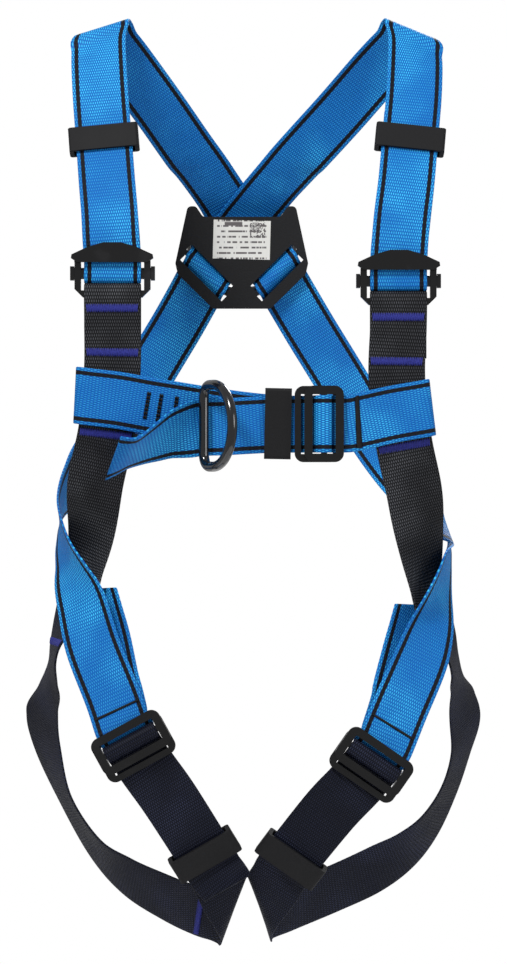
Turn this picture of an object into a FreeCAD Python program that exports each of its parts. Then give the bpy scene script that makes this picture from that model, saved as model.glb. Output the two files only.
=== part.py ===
import FreeCAD, Part
import math
import os
import Sketcher

# A full body harness of 45 mm webbing, as it hangs on an invisible wearer who faces -Y.
# Left and right are as seen from the front.  The origin is the middle of the dorsal ring's bar,
# which the harness hangs from.  Millimetres throughout.

Vector = FreeCAD.Vector
Placement = FreeCAD.Placement
Rotation = FreeCAD.Rotation

SIZES = {
    "web_width": 45.0,
    "web_thick": 2.0,
    # shoulder adjuster: a frame, and a bar that slides in it
    "adjuster_width": 60.0,
    "adjuster_window": 50.0,
    "adjuster_depth": 6.4,
    "adjuster_top": 13.0,
    "adjuster_bottom": 19.0,
    "adjuster_corner": 6.5,
    "adjuster_bar_length": 67.0,
    "adjuster_bar_height": 9.0,
    "adjuster_bar_depth": 5.0,
    "adjuster_bar_travel": 2.5,
    "adjuster_ear_height": 11.0,
    "adjuster_lip_front": 10.0,
    "adjuster_lip_back": 5.8,
    "lip_tip": 32.5,
    "lip_crown": 24.0,
    # three-bar plate that passes through a frame: one on the chest, one on each leg
    "buckle_long": 60.0,
    "buckle_wide": 31.0,
    "buckle_thick": 3.5,
    "buckle_window_long": 46.6,
    "buckle_window_wide": 18.0,
    "buckle_bar": 5.0,
    "buckle_corner": 7.0,
    "frame_wide": 35.0,
    "frame_thick": 3.6,
    "frame_window_wide": 25.0,
    "frame_shift": 5.5,
    "frame_behind": 8.0,
    # keepers: bands that hold the loose layer of webbing down
    "keeper_width": 56.0,
    "keeper_hollow": 49.0,
    "keeper_depth": 11.5,
    "keeper_hollow_depth": 7.4,
    "keeper_high": 21.0,
    # dorsal plate and its ring
    "plate_thick": 4.0,
    "plate_ear_half": 46.0,
    "plate_ear_top": 14.5,
    "plate_recess_half": 33.0,
    "plate_recess_top": 5.5,
    "plate_side_half": 56.5,
    "plate_side_low": -34.0,
    "plate_foot_half": 24.5,
    "plate_foot": -72.5,
    "plate_corner": 4.0,
    "slot_long": 50.0,
    "slot_wide": 6.0,
    "slot_middle": 30.0,
    "slot_middle_low": -42.0,
    "slot_pitch": 10.5,
    "label_long": 48.5,
    "label_high": 33.0,
    "label_thick": 0.4,
    "ring_rod": 9.0,
    "ring_inner": 76.0,
    "ring_reach": 58.0,
    "chest_rod": 8.0,
    "chest_ring_high": 72.0,
    "chest_ring_reach": 38.0,
}

# Places of the hardware: middle of each piece, and the direction that it faces.
ADJUSTER_AT = {"left": Vector(-101.5, -192, -55), "right": Vector(124.7, -192, -61)}
SHOULDER_KEEPER_AT = {"left": Vector(-109.9, -161.6, 54.4), "right": Vector(135.5, -161.6, 54.4)}
SHOULDER_RUN = {"left": Vector(0.085, -0.394, -0.915), "right": Vector(-0.097, -0.393, -0.914)}
BUCKLE_AT = {"chest": Vector(65.4, -212, -174.4), "leg_left": Vector(-86.3, -210, -424.5),
             "leg_right": Vector(104.8, -210, -439.4)}
BUCKLE_RUN = {"chest": Vector(1, 0, 0), "leg_left": Vector(-0.48, 0, 0.877),
              "leg_right": Vector(0.57, 0, 0.822)}
LEG_KEEPER_AT = {"left": Vector(-29.0, -164.6, -517.9), "right": Vector(40.1, -164.4, -522.0)}
LEG_KEEPER_RUN = {"left": Vector(-0.465, -0.37, 0.805), "right": Vector(0.53, -0.39, 0.755)}
CHEST_KEEPER_AT = Vector(29.3, -198.2, -174.0)
CHEST_RING_AT = Vector(-29.0, -206.5, -176.0)

# Each route is a list of stations along a strap: the middle of the webbing, then the direction
# across it, from one selvedge to the other.  A smooth curve joins the stations.
SHOULDER_LEFT = [
    (-112.0, -150.7, 75.7, 1, 0, 0.09),
    (-109.9, -160.1, 53.7, 1, 0, 0.09),
    (-106.9, -174.6, 20.0, 1, 0, 0.09),
    (-104.3, -184.2, -6.0, 1, 0, 0.05),
    (-102.3, -187.7, -30.0, 1, 0, 0.02),
    (-101.5, -188.0, -46.0, 1, 0, 0),
    (-101.5, -188.0, -58.2, 1, 0, 0),
    (-101.5, -189.2, -61.0, 1, 0, 0),
    (-101.5, -192.0, -62.2, 1, 0, 0),
    (-101.5, -194.8, -61.0, 1, 0, 0),
    (-101.5, -196.0, -58.2, 1, 0, 0),
    (-101.5, -196.0, -45.0, 1, 0, 0),
    (-102.8, -194.6, -27.0, 1, 0, 0.03),
    (-104.2, -188.6, -5.0, 1, 0, 0.06),
    (-106.7, -178.0, 20.0, 1, 0, 0.09),
    (-109.9, -163.0, 55.0, 1, 0, 0.09),
    (-113.2, -148.0, 90.0, 1, 0, 0.09),
    (-115.6, -130.5, 121.0, 1, 0, 0.18),
    (-116.3, -118.0, 138.5, 0.955, 0, 0.30),
    (-115.2, -114.5, 148.5, 0.955, 0, 0.30),
    (-113.2, -105.0, 152.4, 0.955, 0, 0.30),
    (-110.5, -95.6, 149.6, 0.955, 0, 0.30),
    (-106.0, -91.0, 140.5, 0.955, 0, 0.30),
    (-90.0, -79.0, 119.5, 0.85, 0, 0.52),
    (-68.0, -58.0, 91.0, 0.80, 0, 0.60),
    (-45.0, -33.5, 60.0, 0.88, 0, 0.47),
    (-31.5, -19.0, 43.0, 0.99, 0, 0.12),
    (-19.5, -6.5, 27.0, 1, 0, 0),
    (-9.0, 4.2, 12.5, 1, 0, 0),
    (-4.2, 7.8, 6.0, 1, 0, 0),
    (0.0, 9.2, 0.0, 1, 0, 0),
    (5.9, 7.2, -8.1, 1, 0, 0),
    (11.8, 3.6, -16.2, 1, 0, 0),
    (17.7, -0.4, -24.3, 0.97, 0, 0.24),
]
SHOULDER_RIGHT = [
    (137.6, -150.7, 75.7, 1, 0, -0.10),
    (135.5, -160.1, 53.7, 1, 0, -0.10),
    (132.0, -174.6, 20.0, 1, 0, -0.10),
    (128.4, -184.2, -9.0, 1, 0, -0.06),
    (125.6, -187.7, -34.0, 1, 0, -0.02),
    (124.7, -188.0, -52.0, 1, 0, 0),
    (124.7, -188.0, -64.2, 1, 0, 0),
    (124.7, -189.2, -67.0, 1, 0, 0),
    (124.7, -192.0, -68.2, 1, 0, 0),
    (124.7, -194.8, -67.0, 1, 0, 0),
    (124.7, -196.0, -64.2, 1, 0, 0),
    (124.7, -196.0, -51.0, 1, 0, 0),
    (125.6, -194.6, -33.0, 1, 0, -0.03),
    (128.0, -188.8, -8.0, 1, 0, -0.07),
    (131.8, -178.0, 20.0, 1, 0, -0.10),
    (135.5, -163.0, 55.0, 1, 0, -0.10),
    (139.2, -148.0, 90.0, 1, 0, -0.10),
    (141.3, -130.5, 120.5, 1, 0, -0.22),
    (141.7, -118.0, 137.0, 0.93, 0, -0.38),
    (140.7, -114.5, 147.0, 0.93, 0, -0.38),
    (138.5, -105.0, 150.8, 0.93, 0, -0.38),
    (135.0, -95.6, 148.2, 0.93, 0, -0.38),
    (130.0, -91.0, 139.5, 0.93, 0, -0.38),
    (109.0, -76.0, 117.5, 0.85, 0, -0.54),
    (82.0, -54.0, 88.5, 0.79, 0, -0.62),
    (53.0, -33.5, 58.5, 0.87, 0, -0.48),
    (38.0, -21.0, 43.0, 0.99, 0, -0.12),
    (23.0, -9.4, 27.0, 1, 0, 0),
    (10.0, 1.3, 12.5, 1, 0, 0),
    (4.8, 5.0, 6.0, 1, 0, 0),
    (0.0, 6.4, 0.0, 1, 0, 0),
    (-5.9, 3.9, -8.1, 1, 0, 0),
    (-11.8, -0.6, -16.2, 1, 0, 0),
    (-17.7, -5.0, -24.3, 0.97, 0, -0.24),
]
HIP_RIGHT = [
    (37.0, -6.6, -53.6, 0.75, 0, 0.66),
    (42.5, -3.0, -63.0, 0.83, 0, 0.55),
    (60.0, 4.0, -92.0, 0.86, 0, 0.51),
    (86.5, 6.0, -135.0, 0.86, 0, 0.51),
    (111.0, 0.0, -177.0, 0.83, 0.1, 0.55),
    (134.0, -24.0, -212.0, 0.65, 0.45, 0.6),
    (155.0, -58.0, -238.0, 0.3, 0.75, 0.55),
    (169.0, -92.0, -257.0, 0.05, 0.92, 0.38),
]
HIP_LEFT = [
    (-37.0, -6.6, -53.6, 0.75, 0, -0.66),
    (-42.0, -3.0, -63.0, 0.83, 0, -0.55),
    (-56.5, 4.0, -88.0, 0.86, 0, -0.51),
    (-77.0, 5.0, -122.0, 0.86, 0, -0.51),
    (-99.0, 0.0, -160.0, 0.83, 0.1, -0.55),
    (-121.0, -22.0, -193.0, 0.65, 0.45, -0.6),
    (-138.0, -54.0, -218.0, 0.3, 0.75, -0.5),
    (-148.5, -88.0, -238.0, 0.05, 0.95, -0.3),
]
THIGH_LEFT = [
    (-148.8, -90.0, -240.0, 0.03, 0.95, -0.27),
    (-147.0, -116.0, -256.0, -0.1, 0.98, -0.05),
    (-142.5, -136.0, -273.0, -0.27, 0.95, 0.0),
    (-136.0, -152.0, -290.0, -0.5, 0.86, -0.05),
    (-127.5, -171.0, -315.0, -0.83, 0.5, -0.15),
    (-117.5, -187.0, -350.0, -0.95, 0.22, -0.22),
    (-101.5, -199.0, -389.0, -0.92, 0.12, -0.37),
    (-94.0, -204.8, -410.0, -0.877, 0, -0.48),
    (-92.1, -205.4, -414.0, -0.877, 0, -0.48),
    (-90.1, -205.5, -417.5, -0.877, 0, -0.48),
    (-89.0, -204.5, -419.6, -0.877, 0, -0.48),
    (-88.5, -202.0, -420.5, -0.877, 0, -0.48),
    (-89.0, -199.5, -419.6, -0.877, 0, -0.48),
    (-90.1, -198.5, -417.5, -0.877, 0, -0.48),
    (-92.1, -198.6, -414.0, -0.877, 0, -0.48),
    (-94.0, -198.5, -410.0, -0.877, 0, -0.48),
    (-99.0, -193.6, -389.0, -0.92, 0.12, -0.37),
    (-102.5, -188.0, -376.0, -0.92, 0.20, -0.30),
    (-107.5, -175.5, -350.0, -0.90, 0.38, -0.20),
    (-113.5, -160.5, -325.0, -0.82, 0.56, -0.12),
    (-118.0, -149.0, -306.0, -0.74, 0.67, -0.06),
]
THIGH_RIGHT = [
    (169.6, -94.0, -259.2, -0.03, 0.95, 0.27),
    (168.5, -122.0, -274.0, 0.1, 0.98, 0.05),
    (164.5, -142.0, -291.0, 0.22, 0.95, 0.0),
    (157.0, -160.0, -315.0, 0.48, 0.87, 0.0),
    (148.5, -178.0, -344.0, 0.85, 0.5, -0.1),
    (140.5, -188.0, -366.0, 0.95, 0.2, -0.23),
    (126.0, -199.0, -398.0, 0.88, 0.07, -0.46),
    (114.5, -204.8, -425.2, 0.822, 0, -0.57),
    (111.6, -205.4, -429.5, 0.822, 0, -0.57),
    (109.4, -205.5, -432.8, 0.822, 0, -0.57),
    (108.0, -204.5, -434.8, 0.822, 0, -0.57),
    (107.4, -202.0, -435.7, 0.822, 0, -0.57),
    (108.0, -199.5, -434.8, 0.822, 0, -0.57),
    (109.4, -198.5, -432.8, 0.822, 0, -0.57),
    (111.6, -198.6, -429.5, 0.822, 0, -0.57),
    (114.5, -198.5, -425.2, 0.822, 0, -0.57),
    (123.5, -193.6, -398.0, 0.88, 0.07, -0.46),
    (126.0, -188.5, -384.0, 0.92, 0.22, -0.31),
    (131.5, -176.0, -362.0, 0.90, 0.38, -0.24),
    (137.0, -161.0, -339.0, 0.82, 0.56, -0.14),
    (141.5, -149.0, -319.0, 0.74, 0.67, -0.06),
]
FRONT_LEFT = [
    (-101.5, -187.3, -117.0, 1, 0, 0),
    (-101.5, -187.3, -95.0, 1, 0, 0),
    (-101.5, -187.3, -76.0, 1, 0, 0),
    (-101.5, -187.3, -69.7, 1, 0, 0),
    (-101.5, -188.7, -66.4, 1, 0, 0),
    (-101.5, -192.0, -65.0, 1, 0, 0),
    (-101.5, -195.3, -66.4, 1, 0, 0),
    (-101.5, -196.7, -69.7, 1, 0, 0),
    (-101.5, -196.7, -76.0, 1, 0, 0),
    (-101.4, -195.6, -94.0, 1, 0, 0),
    (-101.7, -193.8, -133.0, 1, 0, -0.03),
    (-106.0, -193.4, -178.0, 0.98, 0.0, -0.10),
    (-116.0, -179.0, -222.0, 0.97, -0.1, -0.18),
    (-120.5, -158.5, -262.0, 0.84, -0.54, -0.2),
    (-125.5, -151.5, -290.0, 0.66, -0.74, -0.15),
    (-130.0, -156.6, -308.0, 0.66, -0.74, -0.12),
]
FRONT_RIGHT = [
    (124.7, -187.3, -122.0, 1, 0, 0),
    (124.7, -187.3, -101.0, 1, 0, 0),
    (124.7, -187.3, -82.0, 1, 0, 0),
    (124.7, -187.3, -75.7, 1, 0, 0),
    (124.7, -188.7, -72.4, 1, 0, 0),
    (124.7, -192.0, -71.0, 1, 0, 0),
    (124.7, -195.3, -72.4, 1, 0, 0),
    (124.7, -196.7, -75.7, 1, 0, 0),
    (124.7, -196.7, -82.0, 1, 0, 0),
    (124.4, -195.6, -100.0, 1, 0, 0),
    (123.4, -193.8, -139.0, 1, 0, 0),
    (128.5, -193.4, -186.0, 0.98, 0.0, 0.16),
    (138.0, -178.0, -228.0, 0.97, 0.1, 0.18),
    (144.0, -158.5, -268.0, 0.84, 0.54, 0.2),
    (148.5, -149.5, -300.0, 0.62, 0.78, 0.15),
    (153.4, -153.6, -320.0, 0.62, 0.78, 0.12),
]
LEG_LEFT = [
    (-130.6, -155.6, -310.8, 0.66, -0.74, -0.12),
    (-140.2, -149.6, -331.0, 0.45, -0.88, -0.05),
    (-149.5, -142.0, -350.0, 0.22, -0.97, 0.0),
    (-153.5, -130.0, -367.0, 0.15, -0.98, 0.05),
    (-158.5, -110.0, -387.0, 0.28, -0.95, 0.08),
    (-164.5, -88.0, -410.0, 0.50, -0.86, 0.10),
    (-161.5, -70.0, -440.0, 0.50, -0.86, 0.10),
    (-147.5, -58.0, -484.0, 0.28, -0.94, 0.14),
    (-122.0, -58.0, -526.0, 0.22, -0.88, 0.40),
    (-95.0, -64.0, -549.0, 0.14, -0.64, 0.75),
    (-64.0, -80.0, -563.5, 0.10, -0.45, 0.88),
    (-40.0, -99.0, -571.0, 0.12, -0.38, 0.90),
    (-22.0, -114.0, -572.5, 0.20, -0.32, 0.91),
    (-11.0, -123.0, -570.5, 0.28, -0.27, 0.91),
    (-6.5, -131.0, -566.5, 0.33, -0.22, 0.92),
    (-7.0, -139.0, -561.5, 0.40, -0.20, 0.88),
    (-11.5, -146.0, -552.5, 0.60, -0.13, 0.78),
    (-16.5, -152.0, -541.5, 0.77, -0.05, 0.63),
    (-22.8, -157.8, -528.6, 0.877, 0.0, 0.48),
    (-29.3, -163.0, -517.3, 0.877, 0.0, 0.48),
    (-35.8, -168.2, -506.0, 0.877, 0.0, 0.48),
    (-56.5, -184.0, -471.0, 0.877, 0.0, 0.48),
    (-71.0, -194.0, -449.5, 0.877, 0.0, 0.48),
    (-77.4, -194.6, -440.8, 0.877, 0.0, 0.48),
]
LEG_RIGHT = [
    (154.0, -152.8, -322.8, 0.62, 0.78, 0.12),
    (163.2, -147.6, -342.0, 0.42, 0.90, 0.05),
    (171.0, -138.0, -361.0, 0.22, 0.97, 0.0),
    (176.0, -124.0, -378.0, 0.2, 0.97, -0.05),
    (181.5, -108.0, -393.0, 0.35, 0.93, -0.05),
    (184.5, -88.0, -417.0, 0.52, 0.85, -0.05),
    (182.0, -72.0, -446.0, 0.38, 0.92, -0.05),
    (173.0, -62.0, -477.0, 0.34, 0.92, -0.15),
    (157.0, -58.0, -507.0, 0.34, 0.84, -0.40),
    (137.0, -58.0, -528.0, 0.28, 0.66, -0.70),
    (111.0, -64.0, -543.0, 0.18, 0.42, -0.89),
    (79.0, -77.0, -556.0, 0.1, 0.38, -0.92),
    (48.5, -95.0, -566.0, 0.10, 0.38, -0.92),
    (31.0, -110.0, -569.5, 0.12, 0.33, -0.93),
    (20.0, -120.0, -568.5, 0.20, 0.28, -0.93),
    (15.5, -128.0, -565.0, 0.30, 0.24, -0.92),
    (16.0, -136.0, -560.5, 0.40, 0.20, -0.89),
    (21.5, -144.0, -552.0, 0.58, 0.12, -0.80),
    (27.5, -151.0, -542.5, 0.72, 0.05, -0.69),
    (33.1, -157.3, -532.1, 0.822, 0.0, -0.57),
    (40.5, -162.8, -521.5, 0.822, 0.0, -0.57),
    (47.9, -168.3, -510.9, 0.822, 0.0, -0.57),
    (71.0, -184.0, -480.0, 0.822, 0.0, -0.57),
    (87.5, -194.0, -461.5, 0.822, 0.0, -0.57),
    (94.2, -194.6, -454.7, 0.822, 0.0, -0.57),
]
LEG_TAIL_LEFT = [
    (-77.4, -197.8, -440.8, 0.877, 0.0, 0.48),
    (-71.0, -197.4, -450.0, 0.877, 0.0, 0.48),
    (-56.5, -187.6, -471.8, 0.877, 0.0, 0.48),
    (-35.2, -171.4, -507.1, 0.877, 0.0, 0.48),
    (-28.7, -166.2, -518.4, 0.877, 0.0, 0.48),
    (-22.2, -161.0, -529.7, 0.877, 0.0, 0.48),
    (-16.0, -161.5, -538.0, 0.86, -0.10, 0.49),
    (-10.5, -165.5, -545.0, 0.80, -0.30, 0.50),
]
LEG_TAIL_RIGHT = [
    (94.2, -197.8, -454.7, 0.822, 0.0, -0.57),
    (87.5, -197.4, -462.0, 0.822, 0.0, -0.57),
    (71.0, -187.6, -480.8, 0.822, 0.0, -0.57),
    (47.2, -171.4, -512.0, 0.822, 0.0, -0.57),
    (39.8, -165.9, -522.6, 0.822, 0.0, -0.57),
    (32.4, -160.4, -533.2, 0.822, 0.0, -0.57),
]
CHEST_LEFT = [
    (-52.0, -194.6, -163.0, 0.16, 0, 0.98),
    (-74.0, -191.0, -160.5, 0.12, 0, 0.98),
    (-100.0, -189.5, -156.0, 0.04, 0, 1),
    (-124.0, -188.6, -152.0, 0.05, 0, 1),
    (-129.2, -190.2, -151.5, 0.05, 0, 1),
    (-130.6, -193.6, -151.3, 0.05, 0, 1),
    (-128.8, -197.0, -151.5, 0.05, 0, 1),
    (-122.0, -198.0, -152.5, 0.08, 0, 1),
    (-97.0, -197.6, -155.5, 0.16, 0, 0.98),
    (-72.0, -197.6, -160.0, 0.17, 0, 0.98),
    (-50.0, -197.8, -163.5, 0.15, 0, 0.99),
    (-25.0, -197.4, -167.5, 0.10, 0, 0.99),
    (0.0, -196.8, -171.0, 0.04, 0, 1),
    (25.0, -196.6, -173.5, 0, 0, 1),
    (46.8, -196.6, -174.4, 0, 0, 1),
]
CHEST_TAIL = [
    (46.8, -199.8, -174.4, 0, 0, 1),
    (25.0, -199.8, -174.6, 0, 0, 1),
    (5.0, -200.1, -175.5, 0, 0, 1),
    (-12.0, -200.3, -176.5, 0.02, 0, 1),
    (-29.0, -200.4, -177.0, 0.03, 0, 1),
    (-36.0, -201.6, -177.8, 0.05, -0.05, 1),
    (-45.0, -205.2, -179.5, 0.09, -0.30, 0.94),
    (-56.0, -210.0, -182.5, 0.14, -0.52, 0.84),
    (-71.0, -214.5, -190.0, 0.20, -0.73, 0.65),
    (-84.0, -217.0, -197.0, 0.24, -0.82, 0.52),
    (-92.0, -217.5, -200.0, 0.26, -0.78, 0.58),
    (-100.0, -217.0, -201.5, 0.28, -0.68, 0.68),
]
CHEST_RIGHT = [
    (100.0, -189.2, -171.0, -0.1, 0, 1),
    (125.0, -189.0, -166.0, -0.1, 0, 1),
    (144.0, -188.4, -162.0, -0.12, 0, 1),
    (149.6, -189.8, -161.0, -0.12, 0, 1),
    (151.0, -193.2, -160.8, -0.12, 0, 1),
    (149.2, -196.8, -161.2, -0.12, 0, 1),
    (143.0, -198.2, -162.5, -0.15, 0, 1),
    (120.0, -198.8, -166.5, -0.18, 0, 0.98),
    (98.0, -203.4, -171.5, -0.1, 0, 0.98),
    (86.0, -207.0, -174.0, 0, 0, 1),
    (77.4, -207.4, -174.4, 0, 0, 1),
    (73.4, -207.5, -174.4, 0, 0, 1),
    (71.0, -206.5, -174.4, 0, 0, 1),
    (69.9, -204.0, -174.4, 0, 0, 1),
    (71.0, -201.5, -174.4, 0, 0, 1),
    (73.4, -200.5, -174.4, 0, 0, 1),
    (77.4, -200.6, -174.4, 0, 0, 1),
    (86.0, -200.9, -174.0, 0, 0, 1),
    (98.0, -197.4, -171.6, -0.1, 0, 0.98),
]
# The webbing's turn round a buckle plate's middle bar, in the plate's own axes: along the
# strap, then depth behind the plate.
FOLD = [(-17.3, 12.2), (-13.6, 9.4), (-8.7, 4.0), (-6.0, 0.3), (-4.2, -2.4), (-2.0, -3.4),
        (1.5, -3.4), (4.2, -2.4), (5.6, 0.0), (4.2, 2.4), (1.5, 3.5), (-2.4, 4.0),
        (-6.6, 6.6), (-12.0, 11.6), (-17.3, 15.4)]
# The webbing's way through a pair of slots in the dorsal plate: distance past the upper slot
# along the strap, then depth.
WEAVE = [(-6.0, -7.0), (-3.0, -7.6), (-1.4, -9.2), (0.0, -11.0), (1.4, -12.8), (3.0, -14.4),
         (5.25, -14.7), (7.5, -14.4), (9.1, -12.8), (10.5, -11.0), (11.9, -9.2), (13.5, -7.6),
         (17.0, -6.8)]
WEAVE_RUN = (0.515, -0.857)
PLATE_Y = -11.0
PLATE_SLOT_ANGLE = 45.0
RING_LEAN = 35.0

doc = FreeCAD.newDocument("Harness")
sheet = doc.addObject("Spreadsheet::Sheet", "Sizes")
for row, (alias, value) in enumerate(SIZES.items(), start=1):
    sheet.set("A%d" % row, alias)
    sheet.set("B%d" % row, str(value))
    sheet.setAlias("B%d" % row, alias)
doc.recompute()
subparts = []


def size(alias):
    """A driving dimension, read from the sheet."""
    return float(sheet.get(alias))


def axes_placement(at, along, depth):
    """Place a piece so that its X runs along the strap and its Y points to its back."""
    x_axis = Vector(along).normalize()
    z_axis = x_axis.cross(depth).normalize()
    y_axis = z_axis.cross(x_axis)
    matrix = FreeCAD.Matrix(x_axis.x, y_axis.x, z_axis.x, at.x,
                            x_axis.y, y_axis.y, z_axis.y, at.y,
                            x_axis.z, y_axis.z, z_axis.z, at.z,
                            0, 0, 0, 1)
    return Placement(matrix)


# ---- sketched bodies -------------------------------------------------------------------

def new_body(label):
    body = doc.addObject("PartDesign::Body", label)
    body.Label = label
    subparts.append(body)
    return body


def origin_plane(body, role):
    return next(item for item in body.Origin.OriginFeatures if item.Role == role)


def outline(body, name, corners, role="XZ_Plane"):
    """A closed sketch of straight lines whose corners are bound to formulas of the sheet."""
    sketch = body.newObject("Sketcher::SketchObject", name)
    sketch.AttachmentSupport = [(origin_plane(body, role), "")]
    sketch.MapMode = "FlatFace"
    count = len(corners)
    for index in range(count):
        turn = 2 * math.pi * index / count
        after = 2 * math.pi * (index + 1) / count
        start = Vector(10 * math.cos(turn), 10 * math.sin(turn), 0)
        end = Vector(10 * math.cos(after), 10 * math.sin(after), 0)
        sketch.addGeometry(Part.LineSegment(start, end), False)
    for index in range(count):
        sketch.addConstraint(Sketcher.Constraint("Coincident", index, 2, (index + 1) % count, 1))
    for index, formulas in enumerate(corners):
        for kind, formula in zip(("DistanceX", "DistanceY"), formulas):
            place = sketch.addConstraint(Sketcher.Constraint(kind, -1, 1, index, 1, 1.0))
            sketch.setExpression("Constraints[%d]" % place, formula)
    return sketch


def box_corners(half_x, low_y, high_y):
    return [("-(%s)" % half_x, low_y), (half_x, low_y), (half_x, high_y), ("-(%s)" % half_x, high_y)]


def pad(body, name, sketch, length, middle=True):
    feature = body.newObject("PartDesign::Pad", name)
    feature.Profile = sketch
    feature.Midplane = middle
    feature.setExpression("Length", length)
    doc.recompute()
    return feature


def cut(body, name, sketch, length="100"):
    """A pocket both ways from its sketch; it has to take something away."""
    before = body.Shape.Volume
    feature = body.newObject("PartDesign::Pocket", name)
    feature.Profile = sketch
    feature.Midplane = True
    feature.setExpression("Length", length)
    doc.recompute()
    if body.Shape.Volume > before - 1:
        raise RuntimeError(name + " cuts nothing")
    return feature


def round_edges(body, name, radius, chosen):
    """A fillet on the edges that the test picks."""
    edges = ["Edge%d" % (number + 1) for number, edge in enumerate(body.Shape.Edges) if chosen(edge)]
    base = body.Tip
    feature = body.newObject("PartDesign::Fillet", name)
    feature.Base = (base, edges)
    feature.Radius = radius
    doc.recompute()
    return feature


def runs_along(edge, axis):
    line = edge.Vertexes[-1].Point - edge.Vertexes[0].Point
    return line.Length > 1e-6 and abs(line.normalize().dot(axis)) > 0.999


def outer_corner(edge, axis, reach):
    """True for a straight edge along the axis that is further than reach from it."""
    if not runs_along(edge, axis):
        return False
    middle = edge.CenterOfMass
    return (middle - axis * middle.dot(axis)).Length > reach


# ---- hardware --------------------------------------------------------------------------

def adjuster_frame(side):
    body = new_body("adjuster_frame_" + side)
    half, window = "Sizes.adjuster_width / 2", "Sizes.adjuster_window / 2"
    low, high = "-Sizes.adjuster_bottom", "Sizes.adjuster_top"
    corner = "Sizes.adjuster_corner"
    plan = outline(body, "plan_" + side, [
        ("-(%s)" % half, "%s + %s" % (low, corner)), ("-(%s) + %s" % (half, corner), low),
        ("%s - %s" % (half, corner), low), (half, "%s + %s" % (low, corner)),
        (half, high), ("-(%s)" % half, high)])
    pad(body, "rails_" + side, plan, "Sizes.adjuster_depth")
    opening = outline(body, "opening_" + side, box_corners(window, "%s + 5.5" % low, "%s + 1" % high))
    cut(body, "window_" + side, opening)
    lip = outline(body, "lip_outline_" + side, [
        ("-27.5", "8.4"), ("27.5", "8.4"), ("Sizes.lip_tip", "11.5"), ("Sizes.lip_tip - 0.5", "14.5"),
        ("19", "20.5"), ("7", "Sizes.lip_crown"), ("-7", "Sizes.lip_crown"), ("-19", "20.5"),
        ("-Sizes.lip_tip + 0.5", "14.5"), ("-Sizes.lip_tip", "11.5")])
    lip.setExpression("AttachmentOffset.Base.z",
                      "(Sizes.adjuster_lip_front + Sizes.adjuster_lip_back) / 2")
    pad(body, "lip_" + side, lip, "Sizes.adjuster_lip_front - Sizes.adjuster_lip_back")
    for sign, name in ((-1, "cheek_a_"), (1, "cheek_b_")):
        cheek = outline(body, name + "plan_" + side, [
            ("%d * (%s)" % (sign, window), "8.4"), ("%d * (%s)" % (sign, half), "8.4"),
            ("%d * (%s)" % (sign, half), high), ("%d * (%s)" % (sign, window), high)])
        cheek.setExpression("AttachmentOffset.Base.z", "Sizes.adjuster_lip_back / 2")
        pad(body, name + side, cheek, "Sizes.adjuster_lip_back + 1")
    slot = outline(body, "bar_slot_" + side, box_corners(
        "Sizes.adjuster_bar_depth / 2 + 0.35", "-Sizes.adjuster_bar_height / 2 - 0.35",
        "Sizes.adjuster_bar_height / 2 + Sizes.adjuster_bar_travel + 0.35"), "YZ_Plane")
    cut(body, "bar_way_" + side, slot)
    body.Placement = Placement(ADJUSTER_AT[side], Rotation())


def adjuster_bar(side):
    body = new_body("adjuster_bar_" + side)
    section = outline(body, "bar_section_" + side, box_corners(
        "Sizes.adjuster_bar_depth / 2", "-Sizes.adjuster_bar_height / 2",
        "Sizes.adjuster_bar_height / 2"), "YZ_Plane")
    pad(body, "bar_" + side, section, "Sizes.adjuster_bar_length")
    round_edges(body, "bar_rounding_" + side, 2.3, lambda edge: runs_along(edge, Vector(1, 0, 0)))
    for sign, name in ((-1, "ear_a_"), (1, "ear_b_")):
        near = "%d * (Sizes.adjuster_width / 2 + 0.4)" % sign
        far = "%d * Sizes.adjuster_bar_length / 2" % sign
        ear = outline(body, name + "plan_" + side, [
            (near, "-Sizes.adjuster_ear_height / 2"), (far, "-Sizes.adjuster_ear_height / 2"),
            (far, "Sizes.adjuster_ear_height / 2"), (near, "Sizes.adjuster_ear_height / 2")])
        pad(body, name + side, ear, "Sizes.adjuster_bar_depth + 1.4")
    body.Placement = Placement(ADJUSTER_AT[side], Rotation())


def keeper(label, at, along, depth=Vector(0, 1, 0)):
    """A flat band round two layers of webbing; its sketch lies across the strap."""
    body = new_body(label)
    outer = outline(body, label + "_outside", box_corners(
        "Sizes.keeper_depth / 2", "-Sizes.keeper_width / 2", "Sizes.keeper_width / 2"), "YZ_Plane")
    pad(body, label + "_band", outer, "Sizes.keeper_high")
    inner = outline(body, label + "_inside", box_corners(
        "Sizes.keeper_hollow_depth / 2", "-Sizes.keeper_hollow / 2", "Sizes.keeper_hollow / 2"),
        "YZ_Plane")
    cut(body, label + "_hollow", inner)
    round_edges(body, label + "_rounding", 2.5,
                lambda edge: outer_corner(edge, Vector(1, 0, 0), 28))
    body.Placement = axes_placement(at, along, depth)


def buckle_plate(place):
    body = new_body("buckle_plate_" + place)
    outer = outline(body, place + "_plate_outside", box_corners(
        "Sizes.buckle_wide / 2", "-Sizes.buckle_long / 2", "Sizes.buckle_long / 2"))
    pad(body, place + "_plate", outer, "Sizes.buckle_thick")
    for sign, name in ((-1, "near"), (1, "far")):
        start = "%d * Sizes.buckle_bar / 2" % sign
        end = "%d * Sizes.buckle_window_wide / 2" % sign
        low, high = "-Sizes.buckle_window_long / 2", "Sizes.buckle_window_long / 2"
        window = outline(body, "%s_plate_%s" % (place, name),
                         [(start, low), (end, low), (end, high), (start, high)])
        cut(body, "%s_plate_window_%s" % (place, name), window)
    round_edges(body, place + "_plate_corners", size("buckle_corner"),
                lambda edge: outer_corner(edge, Vector(0, 1, 0), 30))
    body.Placement = axes_placement(BUCKLE_AT[place], BUCKLE_RUN[place], Vector(0, 1, 0))


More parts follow.
